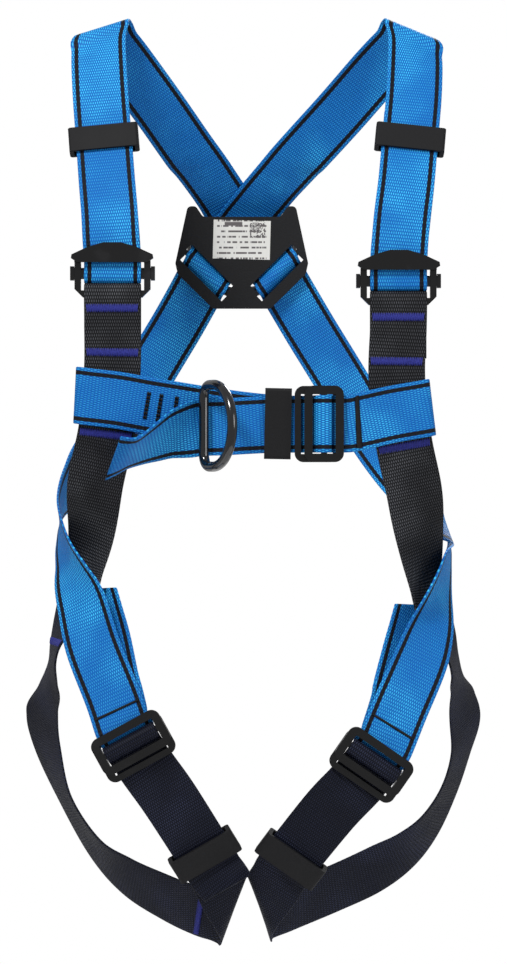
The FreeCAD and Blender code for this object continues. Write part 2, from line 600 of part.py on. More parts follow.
def buckle_frame(place):
    body = new_body("buckle_frame_" + place)
    outer = outline(body, place + "_frame_outside", box_corners(
        "Sizes.frame_wide / 2", "-Sizes.buckle_long / 2", "Sizes.buckle_long / 2"))
    pad(body, place + "_frame", outer, "Sizes.frame_thick")
    inner = outline(body, place + "_frame_inside", box_corners(
        "Sizes.frame_window_wide / 2", "-Sizes.buckle_window_long / 2 - 0.3",
        "Sizes.buckle_window_long / 2 + 0.3"))
    cut(body, place + "_frame_window", inner)
    round_edges(body, place + "_frame_corners", size("buckle_corner"),
                lambda edge: outer_corner(edge, Vector(0, 1, 0), 30))
    along = Vector(BUCKLE_RUN[place]).normalize()
    at = BUCKLE_AT[place] - along * size("frame_shift") + Vector(0, size("frame_behind"), 0)
    body.Placement = axes_placement(at, along, Vector(0, 1, 0))


def dorsal_plate():
    body = new_body("dorsal_plate")
    right = [("Sizes.plate_foot_half", "Sizes.plate_foot"),
             ("Sizes.plate_side_half - 2", "Sizes.plate_side_low - 9"),
             ("Sizes.plate_side_half", "Sizes.plate_side_low"),
             ("Sizes.plate_ear_half", "Sizes.plate_ear_top"),
             ("Sizes.plate_ear_half - 7", "Sizes.plate_ear_top"),
             ("Sizes.plate_recess_half", "Sizes.plate_recess_top")]
    left = [("-(%s)" % across, height) for across, height in reversed(right)]
    plan = outline(body, "plate_plan", right + left)
    pad(body, "plate_blank", plan, "Sizes.plate_thick")
    round_edges(body, "plate_corners", size("plate_corner"),
                lambda edge: runs_along(edge, Vector(0, 1, 0)))
    tilt = math.radians(PLATE_SLOT_ANGLE)
    for side in (-1, 1):
        for upper in (-1, 1):
            corners = []
            for end, edge in ((-1, -1), (1, -1), (1, 1), (-1, 1)):
                middle_x = "%d * (Sizes.slot_middle + %f * Sizes.slot_pitch / 2)" % (
                    side, -upper * WEAVE_RUN[0])
                middle_z = "Sizes.slot_middle_low - %f * Sizes.slot_pitch / 2" % (-upper * -WEAVE_RUN[1])
                x_formula = "%s + %f * Sizes.slot_long / 2 + %f * Sizes.slot_wide / 2" % (
                    middle_x, side * end * math.cos(tilt), -side * edge * math.sin(tilt))
                z_formula = "%s + %f * Sizes.slot_long / 2 + %f * Sizes.slot_wide / 2" % (
                    middle_z, end * math.sin(tilt), edge * math.cos(tilt))
                corners.append((x_formula, z_formula))
            name = "slot_%s_%s" % ("left" if side < 0 else "right", "upper" if upper > 0 else "lower")
            cut(body, name + "_cut", outline(body, name, corners))
    body.Placement = Placement(Vector(0, PLATE_Y, 0), Rotation())


def dorsal_label():
    body = new_body("dorsal_label")
    plan = outline(body, "label_plan", box_corners(
        "Sizes.label_long / 2", "-Sizes.label_high / 2", "Sizes.label_high / 2"))
    pad(body, "label_card", plan, "Sizes.label_thick")
    front = PLATE_Y - size("plate_thick") / 2 - size("label_thick") / 2 - 0.02
    body.Placement = Placement(Vector(0, front, -14), Rotation(Vector(0, 1, 0), 1.5))


def d_ring(label, rod, inner, reach, placement):
    """A closed D of round rod: its bar lies along X through the origin, its bow hangs to -Z."""
    half = inner / 2 + rod / 2
    corner = 10.0
    bow = half
    straight = reach - bow
    points = [Vector(-half + corner, 0, 0), Vector(half - corner, 0, 0)]
    lean = corner * (1 - math.sqrt(0.5))
    edges = [
        Part.LineSegment(points[0], points[1]).toShape(),
        Part.Arc(points[1], Vector(half - lean, 0, -lean), Vector(half, 0, -corner)).toShape(),
        Part.LineSegment(Vector(half, 0, -corner), Vector(half, 0, -corner - straight)).toShape(),
        Part.Arc(Vector(half, 0, -corner - straight), Vector(0, 0, -corner - straight - bow),
                 Vector(-half, 0, -corner - straight)).toShape(),
        Part.LineSegment(Vector(-half, 0, -corner - straight), Vector(-half, 0, -corner)).toShape(),
        Part.Arc(Vector(-half, 0, -corner), Vector(-half + lean, 0, -lean), points[0]).toShape(),
    ]
    path = Part.Wire(edges)
    profile = Part.Wire([Part.Circle(Vector(0, 0, 0), Vector(1, 0, 0), rod / 2).toShape()])
    ring = doc.addObject("Part::Feature", label)
    ring.Label = label
    ring.Shape = path.makePipeShell([profile], True, True)
    ring.Placement = placement
    subparts.append(ring)


# ---- webbing ---------------------------------------------------------------------------

def smooth(stations, steps):
    """Points on a Catmull-Rom curve through the stations, each with its direction across."""
    points = []
    last = len(stations) - 1
    for index in range(last):
        before = stations[max(index - 1, 0)]
        start, end = stations[index], stations[index + 1]
        after = stations[min(index + 2, last)]
        for step in range(steps):
            part = step / steps
            points.append([0.5 * (2 * b + (c - a) * part + (2 * a - 5 * b + 4 * c - d) * part ** 2
                                  + (3 * b - a - 3 * c + d) * part ** 3)
                           for a, b, c, d in zip(before, start, end, after)])
    points.append(list(stations[last]))
    return points


def ribbon(label, stations, placement=None, steps=3):
    """A flat closed strap that follows the stations, made of plane facets."""
    points = smooth(stations, steps)
    half_thick = size("web_thick") / 2
    rows = []
    for index, point in enumerate(points):
        ahead = points[min(index + 1, len(points) - 1)]
        behind = points[max(index - 1, 0)]
        run = (Vector(*ahead[:3]) - Vector(*behind[:3])).normalize()
        across = Vector(*point[3:]).normalize()
        slant = max(0.6, run.cross(across).Length)
        face = run.cross(across).normalize() * half_thick
        reach = across * (size("web_width") / 2 / slant)
        middle = Vector(*point[:3])
        rows.append([middle - reach - face, middle + reach - face, middle + reach + face,
                     middle - reach + face])
    triangles = [(rows[0][0], rows[0][1], rows[0][2]), (rows[0][0], rows[0][2], rows[0][3]),
                 (rows[-1][0], rows[-1][2], rows[-1][1]), (rows[-1][0], rows[-1][3], rows[-1][2])]
    for lower, upper in zip(rows, rows[1:]):
        for corner in range(4):
            following = (corner + 1) % 4
            if corner < 2:
                triangles.append((lower[corner], lower[following], upper[following]))
                triangles.append((lower[corner], upper[following], upper[corner]))
            else:
                triangles.append((lower[corner], lower[following], upper[corner]))
                triangles.append((lower[following], upper[following], upper[corner]))
    faces = [Part.Face(Part.makePolygon([a, b, c, a])) for a, b, c in triangles]
    shell = Part.makeShell(faces)
    shell.sewShape()
    solid = Part.makeSolid(shell)
    if solid.Volume < 0:
        solid.reverse()
    strap = doc.addObject("Part::Feature", label)
    strap.Label = label
    strap.Shape = solid
    if placement:
        strap.Placement = placement
    subparts.append(strap)


def weave(side):
    """Stations of a shoulder strap through the two slots on one side of the dorsal plate."""
    upper_x = size("slot_middle") - WEAVE_RUN[0] * size("slot_pitch") / 2
    upper_z = size("slot_middle_low") - WEAVE_RUN[1] * size("slot_pitch") / 2
    return [(side * (upper_x + WEAVE_RUN[0] * past), depth, upper_z + WEAVE_RUN[1] * past,
             0.707, 0, side * 0.707) for past, depth in WEAVE]


def fold(place):
    """The webbing's turn round a buckle plate's middle bar."""
    stations = [(along, depth, 0, 0, 0, 1) for along, depth in FOLD]
    placement = axes_placement(BUCKLE_AT[place], BUCKLE_RUN[place], Vector(0, 1, 0))
    ribbon("strap_turn_" + place, stations, placement)


for side in ("left", "right"):
    adjuster_frame(side)
    adjuster_bar(side)
    keeper("shoulder_keeper_" + side, SHOULDER_KEEPER_AT[side], SHOULDER_RUN[side])
for place in BUCKLE_AT:
    buckle_plate(place)
    buckle_frame(place)
    fold(place)
keeper("chest_keeper", CHEST_KEEPER_AT, Vector(1, 0, -0.02))
for side in ("left", "right"):
    keeper("leg_keeper_" + side, LEG_KEEPER_AT[side], LEG_KEEPER_RUN[side])
dorsal_plate()
dorsal_label()
d_ring("dorsal_ring", size("ring_rod"), size("ring_inner"), size("ring_reach"),
       Placement(Vector(0, 0, 0), Rotation(Vector(1, 0, 0), RING_LEAN)))
d_ring("chest_ring", size("chest_rod"), size("chest_ring_high") - 2 * size("chest_rod"),
       size("chest_ring_reach"),
       axes_placement(CHEST_RING_AT, Vector(0, 0, 1), Vector(0.88, 0.47, 0)))
ribbon("shoulder_strap_left", SHOULDER_LEFT + weave(1))
ribbon("shoulder_strap_right", SHOULDER_RIGHT + weave(-1))
for label, stations in (
        ("hip_strap_left", HIP_LEFT), ("hip_strap_right", HIP_RIGHT),
        ("thigh_strap_left", THIGH_LEFT), ("thigh_strap_right", THIGH_RIGHT),
        ("front_strap_left", FRONT_LEFT), ("front_strap_right", FRONT_RIGHT),
        ("leg_strap_left", LEG_LEFT), ("leg_strap_right", LEG_RIGHT),
        ("leg_tail_left", LEG_TAIL_LEFT), ("leg_tail_right", LEG_TAIL_RIGHT),
        ("chest_strap_left", CHEST_LEFT), ("chest_strap_right", CHEST_RIGHT),
        ("chest_tail", CHEST_TAIL)):
    ribbon(label, stations)

doc.recompute()
for item in doc.Objects:
    if "Invalid" in item.State or "Error" in item.State:
        raise RuntimeError("%s failed: %s" % (item.Label, item.State))
os.makedirs("parts", exist_ok=True)
for item in subparts:
    shape = item.Shape
    if shape.isNull() or not shape.isValid() or len(shape.Solids) != 1:
        raise RuntimeError("%s is not one valid solid" % item.Label)
    shape.exportStep("parts/%s.step" % item.Label)
    print("%-24s %9.0f mm3" % (item.Label, shape.Volume))
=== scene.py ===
import math
import bpy
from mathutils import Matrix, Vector

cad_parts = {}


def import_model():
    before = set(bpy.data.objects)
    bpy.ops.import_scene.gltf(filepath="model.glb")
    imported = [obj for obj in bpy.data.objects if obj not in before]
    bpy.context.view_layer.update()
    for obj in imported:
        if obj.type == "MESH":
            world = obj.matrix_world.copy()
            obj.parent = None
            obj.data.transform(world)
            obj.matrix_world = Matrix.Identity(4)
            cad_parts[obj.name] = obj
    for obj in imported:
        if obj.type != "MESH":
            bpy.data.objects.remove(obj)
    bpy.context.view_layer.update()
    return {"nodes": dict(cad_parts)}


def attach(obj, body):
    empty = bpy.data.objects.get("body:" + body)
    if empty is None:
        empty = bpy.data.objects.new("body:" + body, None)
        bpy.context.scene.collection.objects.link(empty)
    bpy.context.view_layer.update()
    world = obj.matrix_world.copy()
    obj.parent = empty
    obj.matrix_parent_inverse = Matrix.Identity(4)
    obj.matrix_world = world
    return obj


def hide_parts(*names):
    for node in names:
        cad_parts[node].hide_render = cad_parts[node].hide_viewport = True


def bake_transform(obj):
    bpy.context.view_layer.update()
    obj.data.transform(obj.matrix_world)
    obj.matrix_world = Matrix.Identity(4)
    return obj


# A full body harness of 45 mm webbing, as it hangs on an invisible wearer who faces -Y.  Straps
# and stitches are built here; the hardware keeps its frame shapes and gets edges and materials.

MM = 0.001
WEB_WIDTH = 45.0
WEB_THICK = 1.8
ROW_STEP = 2.5
RIB_PITCH = 2.7
FLOAT_PITCH = 1.8
FOLD_LIFT = 1.3

# Metres, in the frame of the node that they belong to.
LABEL_TOP = 0.003
LABEL_ROW = 0.0046
LABEL_INK_HALF = 0.021
MOSAIC_BLOCK = 0.0009

FLOOR_RADIUS = 0.7
FLOOR_HEIGHT = -0.75
FLOOR_SIDES = 96
AMBIENT = 0.45

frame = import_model()

# Where the hardware is, and which way the webbing runs through it.
BUCKLE_AT = {"chest": Vector((65.4, -212, -174.4)), "leg_left": Vector((-86.3, -210, -424.5)),
             "leg_right": Vector((104.8, -210, -439.4))}
BUCKLE_RUN = {"chest": Vector((1, 0, 0)), "leg_left": Vector((-0.48, 0, 0.877)),
              "leg_right": Vector((0.57, 0, 0.822))}

SHOULDER_LEFT = [
    (-112.0, -150.7, 75.7, 1, 0, 0.09),
    (-109.9, -160.1, 53.7, 1, 0, 0.09),
    (-106.9, -174.6, 20.0, 1, 0, 0.09),
    (-104.3, -184.2, -6.0, 1, 0, 0.05),
    (-102.3, -187.7, -30.0, 1, 0, 0.02),
    (-101.5, -188.0, -46.0, 1, 0, 0),
    (-101.5, -188.0, -58.2, 1, 0, 0),
    (-101.5, -189.2, -61.0, 1, 0, 0),
    (-101.5, -192.0, -62.2, 1, 0, 0),
    (-101.5, -194.8, -61.0, 1, 0, 0),
    (-101.5, -196.0, -58.2, 1, 0, 0),
    (-101.5, -196.0, -45.0, 1, 0, 0),
    (-102.8, -194.6, -27.0, 1, 0, 0.03),
    (-104.2, -188.6, -5.0, 1, 0, 0.06),
    (-106.7, -178.0, 20.0, 1, 0, 0.09),
    (-109.9, -163.0, 55.0, 1, 0, 0.09),
    (-113.2, -148.0, 90.0, 1, 0, 0.09),
    (-115.6, -130.5, 121.0, 1, 0, 0.18),
    (-116.3, -118.0, 138.5, 0.955, 0, 0.30),
    (-115.2, -114.5, 148.5, 0.955, 0, 0.30),
    (-113.2, -105.0, 152.4, 0.955, 0, 0.30),
    (-110.5, -95.6, 149.6, 0.955, 0, 0.30),
    (-106.0, -91.0, 140.5, 0.955, 0, 0.30),
    (-90.0, -79.0, 119.5, 0.85, 0, 0.52),
    (-68.0, -58.0, 91.0, 0.80, 0, 0.60),
    (-45.0, -33.5, 60.0, 0.88, 0, 0.47),
    (-31.5, -19.0, 43.0, 0.99, 0, 0.12),
    (-19.5, -6.5, 27.0, 1, 0, 0),
    (-9.0, 4.2, 12.5, 1, 0, 0),
    (-4.2, 7.8, 6.0, 1, 0, 0),
    (0.0, 9.2, 0.0, 1, 0, 0),
    (5.9, 7.2, -8.1, 1, 0, 0),
    (11.8, 3.6, -16.2, 1, 0, 0),
    (17.7, -0.4, -24.3, 0.97, 0, 0.24),
]
SHOULDER_RIGHT = [
    (137.6, -150.7, 75.7, 1, 0, -0.10),
    (135.5, -160.1, 53.7, 1, 0, -0.10),
    (132.0, -174.6, 20.0, 1, 0, -0.10),
    (128.4, -184.2, -9.0, 1, 0, -0.06),
    (125.6, -187.7, -34.0, 1, 0, -0.02),
    (124.7, -188.0, -52.0, 1, 0, 0),
    (124.7, -188.0, -64.2, 1, 0, 0),
    (124.7, -189.2, -67.0, 1, 0, 0),
    (124.7, -192.0, -68.2, 1, 0, 0),
    (124.7, -194.8, -67.0, 1, 0, 0),
    (124.7, -196.0, -64.2, 1, 0, 0),
    (124.7, -196.0, -51.0, 1, 0, 0),
    (125.6, -194.6, -33.0, 1, 0, -0.03),
    (128.0, -188.8, -8.0, 1, 0, -0.07),
    (131.8, -178.0, 20.0, 1, 0, -0.10),
    (135.5, -163.0, 55.0, 1, 0, -0.10),
    (139.2, -148.0, 90.0, 1, 0, -0.10),
    (141.3, -130.5, 120.5, 1, 0, -0.22),
    (141.7, -118.0, 137.0, 0.93, 0, -0.38),
    (140.7, -114.5, 147.0, 0.93, 0, -0.38),
    (138.5, -105.0, 150.8, 0.93, 0, -0.38),
    (135.0, -95.6, 148.2, 0.93, 0, -0.38),
    (130.0, -91.0, 139.5, 0.93, 0, -0.38),
    (109.0, -76.0, 117.5, 0.85, 0, -0.54),
    (82.0, -54.0, 88.5, 0.79, 0, -0.62),
    (53.0, -33.5, 58.5, 0.87, 0, -0.48),
    (38.0, -21.0, 43.0, 0.99, 0, -0.12),
    (23.0, -9.4, 27.0, 1, 0, 0),
    (10.0, 1.3, 12.5, 1, 0, 0),
    (4.8, 5.0, 6.0, 1, 0, 0),
    (0.0, 6.4, 0.0, 1, 0, 0),
    (-5.9, 3.9, -8.1, 1, 0, 0),
    (-11.8, -0.6, -16.2, 1, 0, 0),
    (-17.7, -5.0, -24.3, 0.97, 0, -0.24),
]
HIP_RIGHT = [
    (37.0, -6.6, -53.6, 0.75, 0, 0.66),
    (42.5, -3.0, -63.0, 0.83, 0, 0.55),
    (60.0, 4.0, -92.0, 0.86, 0, 0.51),
    (86.5, 6.0, -135.0, 0.86, 0, 0.51),
    (111.0, 0.0, -177.0, 0.83, 0.1, 0.55),
    (134.0, -24.0, -212.0, 0.65, 0.45, 0.6),
    (155.0, -58.0, -238.0, 0.3, 0.75, 0.55),
    (169.0, -92.0, -257.0, 0.05, 0.92, 0.38),
]
HIP_LEFT = [
    (-37.0, -6.6, -53.6, 0.75, 0, -0.66),
    (-42.0, -3.0, -63.0, 0.83, 0, -0.55),
    (-56.5, 4.0, -88.0, 0.86, 0, -0.51),
    (-77.0, 5.0, -122.0, 0.86, 0, -0.51),
    (-99.0, 0.0, -160.0, 0.83, 0.1, -0.55),
    (-121.0, -22.0, -193.0, 0.65, 0.45, -0.6),
    (-138.0, -54.0, -218.0, 0.3, 0.75, -0.5),
    (-148.5, -88.0, -238.0, 0.05, 0.95, -0.3),
]
THIGH_LEFT = [
    (-148.8, -90.0, -240.0, 0.03, 0.95, -0.27),
    (-147.0, -116.0, -256.0, -0.1, 0.98, -0.05),
    (-142.5, -136.0, -273.0, -0.27, 0.95, 0.0),
    (-136.0, -152.0, -290.0, -0.5, 0.86, -0.05),
    (-127.5, -171.0, -315.0, -0.83, 0.5, -0.15),
    (-117.5, -187.0, -350.0, -0.95, 0.22, -0.22),
    (-101.5, -199.0, -389.0, -0.92, 0.12, -0.37),
    (-94.0, -204.8, -410.0, -0.877, 0, -0.48),
    (-92.1, -205.4, -414.0, -0.877, 0, -0.48),
    (-90.1, -205.5, -417.5, -0.877, 0, -0.48),
    (-89.0, -204.5, -419.6, -0.877, 0, -0.48),
    (-88.5, -202.0, -420.5, -0.877, 0, -0.48),
    (-89.0, -199.5, -419.6, -0.877, 0, -0.48),
    (-90.1, -198.5, -417.5, -0.877, 0, -0.48),
    (-92.1, -198.6, -414.0, -0.877, 0, -0.48),
    (-94.0, -198.5, -410.0, -0.877, 0, -0.48),
    (-99.0, -193.6, -389.0, -0.92, 0.12, -0.37),
    (-102.5, -188.0, -376.0, -0.92, 0.20, -0.30),
    (-107.5, -175.5, -350.0, -0.90, 0.38, -0.20),
    (-113.5, -160.5, -325.0, -0.82, 0.56, -0.12),
    (-118.0, -149.0, -306.0, -0.74, 0.67, -0.06),
]
THIGH_RIGHT = [
    (169.6, -94.0, -259.2, -0.03, 0.95, 0.27),
    (168.5, -122.0, -274.0, 0.1, 0.98, 0.05),
    (164.5, -142.0, -291.0, 0.22, 0.95, 0.0),
    (157.0, -160.0, -315.0, 0.48, 0.87, 0.0),
    (148.5, -178.0, -344.0, 0.85, 0.5, -0.1),
    (140.5, -188.0, -366.0, 0.95, 0.2, -0.23),
    (126.0, -199.0, -398.0, 0.88, 0.07, -0.46),
    (114.5, -204.8, -425.2, 0.822, 0, -0.57),
    (111.6, -205.4, -429.5, 0.822, 0, -0.57),
    (109.4, -205.5, -432.8, 0.822, 0, -0.57),
    (108.0, -204.5, -434.8, 0.822, 0, -0.57),
    (107.4, -202.0, -435.7, 0.822, 0, -0.57),
    (108.0, -199.5, -434.8, 0.822, 0, -0.57),
    (109.4, -198.5, -432.8, 0.822, 0, -0.57),
    (111.6, -198.6, -429.5, 0.822, 0, -0.57),
    (114.5, -198.5, -425.2, 0.822, 0, -0.57),
    (123.5, -193.6, -398.0, 0.88, 0.07, -0.46),
    (126.0, -188.5, -384.0, 0.92, 0.22, -0.31),
    (131.5, -176.0, -362.0, 0.90, 0.38, -0.24),
    (137.0, -161.0, -339.0, 0.82, 0.56, -0.14),
    (141.5, -149.0, -319.0, 0.74, 0.67, -0.06),
]
FRONT_LEFT = [
    (-101.5, -187.3, -117.0, 1, 0, 0),
    (-101.5, -187.3, -95.0, 1, 0, 0),
    (-101.5, -187.3, -76.0, 1, 0, 0),
    (-101.5, -187.3, -69.7, 1, 0, 0),
    (-101.5, -188.7, -66.4, 1, 0, 0),
    (-101.5, -192.0, -65.0, 1, 0, 0),
    (-101.5, -195.3, -66.4, 1, 0, 0),
    (-101.5, -196.7, -69.7, 1, 0, 0),
    (-101.5, -196.7, -76.0, 1, 0, 0),
    (-101.4, -195.6, -94.0, 1, 0, 0),
    (-101.7, -193.8, -133.0, 1, 0, -0.03),
    (-106.0, -193.4, -178.0, 0.98, 0.0, -0.10),
    (-116.0, -179.0, -222.0, 0.97, -0.1, -0.18),
    (-120.5, -158.5, -262.0, 0.84, -0.54, -0.2),
    (-125.5, -151.5, -290.0, 0.66, -0.74, -0.15),
    (-130.0, -156.6, -308.0, 0.66, -0.74, -0.12),
]
FRONT_RIGHT = [
    (124.7, -187.3, -122.0, 1, 0, 0),
    (124.7, -187.3, -101.0, 1, 0, 0),
    (124.7, -187.3, -82.0, 1, 0, 0),
    (124.7, -187.3, -75.7, 1, 0, 0),
    (124.7, -188.7, -72.4, 1, 0, 0),
    (124.7, -192.0, -71.0, 1, 0, 0),
    (124.7, -195.3, -72.4, 1, 0, 0),
    (124.7, -196.7, -75.7, 1, 0, 0),
    (124.7, -196.7, -82.0, 1, 0, 0),
    (124.4, -195.6, -100.0, 1, 0, 0),
    (123.4, -193.8, -139.0, 1, 0, 0),
    (128.5, -193.4, -186.0, 0.98, 0.0, 0.16),
    (138.0, -178.0, -228.0, 0.97, 0.1, 0.18),
    (144.0, -158.5, -268.0, 0.84, 0.54, 0.2),
    (148.5, -149.5, -300.0, 0.62, 0.78, 0.15),
    (153.4, -153.6, -320.0, 0.62, 0.78, 0.12),
]
LEG_LEFT = [
    (-130.6, -155.6, -310.8, 0.66, -0.74, -0.12),
    (-140.2, -149.6, -331.0, 0.45, -0.88, -0.05),
    (-149.5, -142.0, -350.0, 0.22, -0.97, 0.0),
    (-153.5, -130.0, -367.0, 0.15, -0.98, 0.05),
    (-158.5, -110.0, -387.0, 0.28, -0.95, 0.08),
    (-164.5, -88.0, -410.0, 0.50, -0.86, 0.10),
    (-161.5, -70.0, -440.0, 0.50, -0.86, 0.10),
    (-147.5, -58.0, -484.0, 0.28, -0.94, 0.14),
    (-122.0, -58.0, -526.0, 0.22, -0.88, 0.40),
    (-95.0, -64.0, -549.0, 0.14, -0.64, 0.75),
    (-64.0, -80.0, -563.5, 0.10, -0.45, 0.88),
    (-40.0, -99.0, -571.0, 0.12, -0.38, 0.90),
    (-22.0, -114.0, -572.5, 0.20, -0.32, 0.91),
    (-11.0, -123.0, -570.5, 0.28, -0.27, 0.91),
    (-6.5, -131.0, -566.5, 0.33, -0.22, 0.92),
    (-7.0, -139.0, -561.5, 0.40, -0.20, 0.88),
    (-11.5, -146.0, -552.5, 0.60, -0.13, 0.78),
    (-16.5, -152.0, -541.5, 0.77, -0.05, 0.63),
    (-22.8, -157.8, -528.6, 0.877, 0.0, 0.48),
    (-29.3, -163.0, -517.3, 0.877, 0.0, 0.48),
    (-35.8, -168.2, -506.0, 0.877, 0.0, 0.48),
    (-56.5, -184.0, -471.0, 0.877, 0.0, 0.48),
    (-71.0, -194.0, -449.5, 0.877, 0.0, 0.48),
    (-77.4, -194.6, -440.8, 0.877, 0.0, 0.48),
]
LEG_RIGHT = [
    (154.0, -152.8, -322.8, 0.62, 0.78, 0.12),
    (163.2, -147.6, -342.0, 0.42, 0.90, 0.05),
    (171.0, -138.0, -361.0, 0.22, 0.97, 0.0),
    (176.0, -124.0, -378.0, 0.2, 0.97, -0.05),
    (181.5, -108.0, -393.0, 0.35, 0.93, -0.05),
    (184.5, -88.0, -417.0, 0.52, 0.85, -0.05),
    (182.0, -72.0, -446.0, 0.38, 0.92, -0.05),
    (173.0, -62.0, -477.0, 0.34, 0.92, -0.15),
    (157.0, -58.0, -507.0, 0.34, 0.84, -0.40),
    (137.0, -58.0, -528.0, 0.28, 0.66, -0.70),
    (111.0, -64.0, -543.0, 0.18, 0.42, -0.89),
    (79.0, -77.0, -556.0, 0.1, 0.38, -0.92),
    (48.5, -95.0, -566.0, 0.10, 0.38, -0.92),
    (31.0, -110.0, -569.5, 0.12, 0.33, -0.93),
    (20.0, -120.0, -568.5, 0.20, 0.28, -0.93),
    (15.5, -128.0, -565.0, 0.30, 0.24, -0.92),
    (16.0, -136.0, -560.5, 0.40, 0.20, -0.89),
    (21.5, -144.0, -552.0, 0.58, 0.12, -0.80),
    (27.5, -151.0, -542.5, 0.72, 0.05, -0.69),
    (33.1, -157.3, -532.1, 0.822, 0.0, -0.57),
    (40.5, -162.8, -521.5, 0.822, 0.0, -0.57),
    (47.9, -168.3, -510.9, 0.822, 0.0, -0.57),
    (71.0, -184.0, -480.0, 0.822, 0.0, -0.57),
    (87.5, -194.0, -461.5, 0.822, 0.0, -0.57),
    (94.2, -194.6, -454.7, 0.822, 0.0, -0.57),
]
LEG_TAIL_LEFT = [
    (-77.4, -197.8, -440.8, 0.877, 0.0, 0.48),
    (-71.0, -197.4, -450.0, 0.877, 0.0, 0.48),
    (-56.5, -187.6, -471.8, 0.877, 0.0, 0.48),
    (-35.2, -171.4, -507.1, 0.877, 0.0, 0.48),
    (-28.7, -166.2, -518.4, 0.877, 0.0, 0.48),
    (-22.2, -161.0, -529.7, 0.877, 0.0, 0.48),
    (-16.0, -161.5, -538.0, 0.86, -0.10, 0.49),
    (-10.5, -165.5, -545.0, 0.80, -0.30, 0.50),
]
LEG_TAIL_RIGHT = [
    (94.2, -197.8, -454.7, 0.822, 0.0, -0.57),
    (87.5, -197.4, -462.0, 0.822, 0.0, -0.57),
    (71.0, -187.6, -480.8, 0.822, 0.0, -0.57),
    (47.2, -171.4, -512.0, 0.822, 0.0, -0.57),
    (39.8, -165.9, -522.6, 0.822, 0.0, -0.57),
    (32.4, -160.4, -533.2, 0.822, 0.0, -0.57),
]
CHEST_LEFT = [
    (-52.0, -194.6, -163.0, 0.16, 0, 0.98),
    (-74.0, -191.0, -160.5, 0.12, 0, 0.98),
    (-100.0, -189.5, -156.0, 0.04, 0, 1),
    (-124.0, -188.6, -152.0, 0.05, 0, 1),
    (-129.2, -190.2, -151.5, 0.05, 0, 1),
    (-130.6, -193.6, -151.3, 0.05, 0, 1),
    (-128.8, -197.0, -151.5, 0.05, 0, 1),
    (-122.0, -198.0, -152.5, 0.08, 0, 1),
    (-97.0, -197.6, -155.5, 0.16, 0, 0.98),
    (-72.0, -197.6, -160.0, 0.17, 0, 0.98),
    (-50.0, -197.8, -163.5, 0.15, 0, 0.99),
    (-25.0, -197.4, -167.5, 0.10, 0, 0.99),
    (0.0, -196.8, -171.0, 0.04, 0, 1),
    (25.0, -196.6, -173.5, 0, 0, 1),
    (46.8, -196.6, -174.4, 0, 0, 1),
]
CHEST_TAIL = [
    (46.8, -199.8, -174.4, 0, 0, 1),
    (25.0, -199.8, -174.6, 0, 0, 1),
    (5.0, -200.1, -175.5, 0, 0, 1),
    (-12.0, -200.3, -176.5, 0.02, 0, 1),
    (-29.0, -200.4, -177.0, 0.03, 0, 1),
    (-36.0, -201.6, -177.8, 0.05, -0.05, 1),
    (-45.0, -205.2, -179.5, 0.09, -0.30, 0.94),
    (-56.0, -210.0, -182.5, 0.14, -0.52, 0.84),
    (-71.0, -214.5, -190.0, 0.20, -0.73, 0.65),
    (-84.0, -217.0, -197.0, 0.24, -0.82, 0.52),
    (-92.0, -217.5, -200.0, 0.26, -0.78, 0.58),
    (-100.0, -217.0, -201.5, 0.28, -0.68, 0.68),
]
CHEST_RIGHT = [
    (100.0, -189.2, -171.0, -0.1, 0, 1),
    (125.0, -189.0, -166.0, -0.1, 0, 1),
    (144.0, -188.4, -162.0, -0.12, 0, 1),
    (149.6, -189.8, -161.0, -0.12, 0, 1),
    (151.0, -193.2, -160.8, -0.12, 0, 1),
    (149.2, -196.8, -161.2, -0.12, 0, 1),
    (143.0, -198.2, -162.5, -0.15, 0, 1),
    (120.0, -198.8, -166.5, -0.18, 0, 0.98),
    (98.0, -203.4, -171.5, -0.1, 0, 0.98),
    (86.0, -207.0, -174.0, 0, 0, 1),
    (77.4, -207.4, -174.4, 0, 0, 1),
    (73.4, -207.5, -174.4, 0, 0, 1),
    (71.0, -206.5, -174.4, 0, 0, 1),
    (69.9, -204.0, -174.4, 0, 0, 1),
    (71.0, -201.5, -174.4, 0, 0, 1),
    (73.4, -200.5, -174.4, 0, 0, 1),
    (77.4, -200.6, -174.4, 0, 0, 1),
    (86.0, -200.9, -174.0, 0, 0, 1),
    (98.0, -197.4, -171.6, -0.1, 0, 0.98),
]
# The webbing's turn round a buckle plate's middle bar, in the plate's own axes: along the
# strap, then depth behind the plate.
FOLD = [(-17.3, 12.2), (-13.6, 9.4), (-8.7, 4.0), (-6.0, 0.3), (-4.2, -2.4), (-2.0, -3.4),
        (1.5, -3.4), (4.2, -2.4), (5.6, 0.0), (4.2, 2.4), (1.5, 3.5), (-2.4, 4.0),
        (-6.6, 6.6), (-12.0, 11.6), (-17.3, 15.4)]
# The webbing's way through a pair of slots in the dorsal plate: distance past the upper slot
# along the strap, then depth.
WEAVE = [(-6.0, -7.0), (-3.0, -7.6), (-1.4, -9.2), (0.0, -11.0), (1.4, -12.8), (3.0, -14.4),
         (5.25, -14.7), (7.5, -14.4), (9.1, -12.8), (10.5, -11.0), (11.9, -9.2), (13.5, -7.6),
         (17.0, -6.8)]
WEAVE_RUN = (0.515, -0.857)


# ---- node helpers ----------------------------------------------------------------------

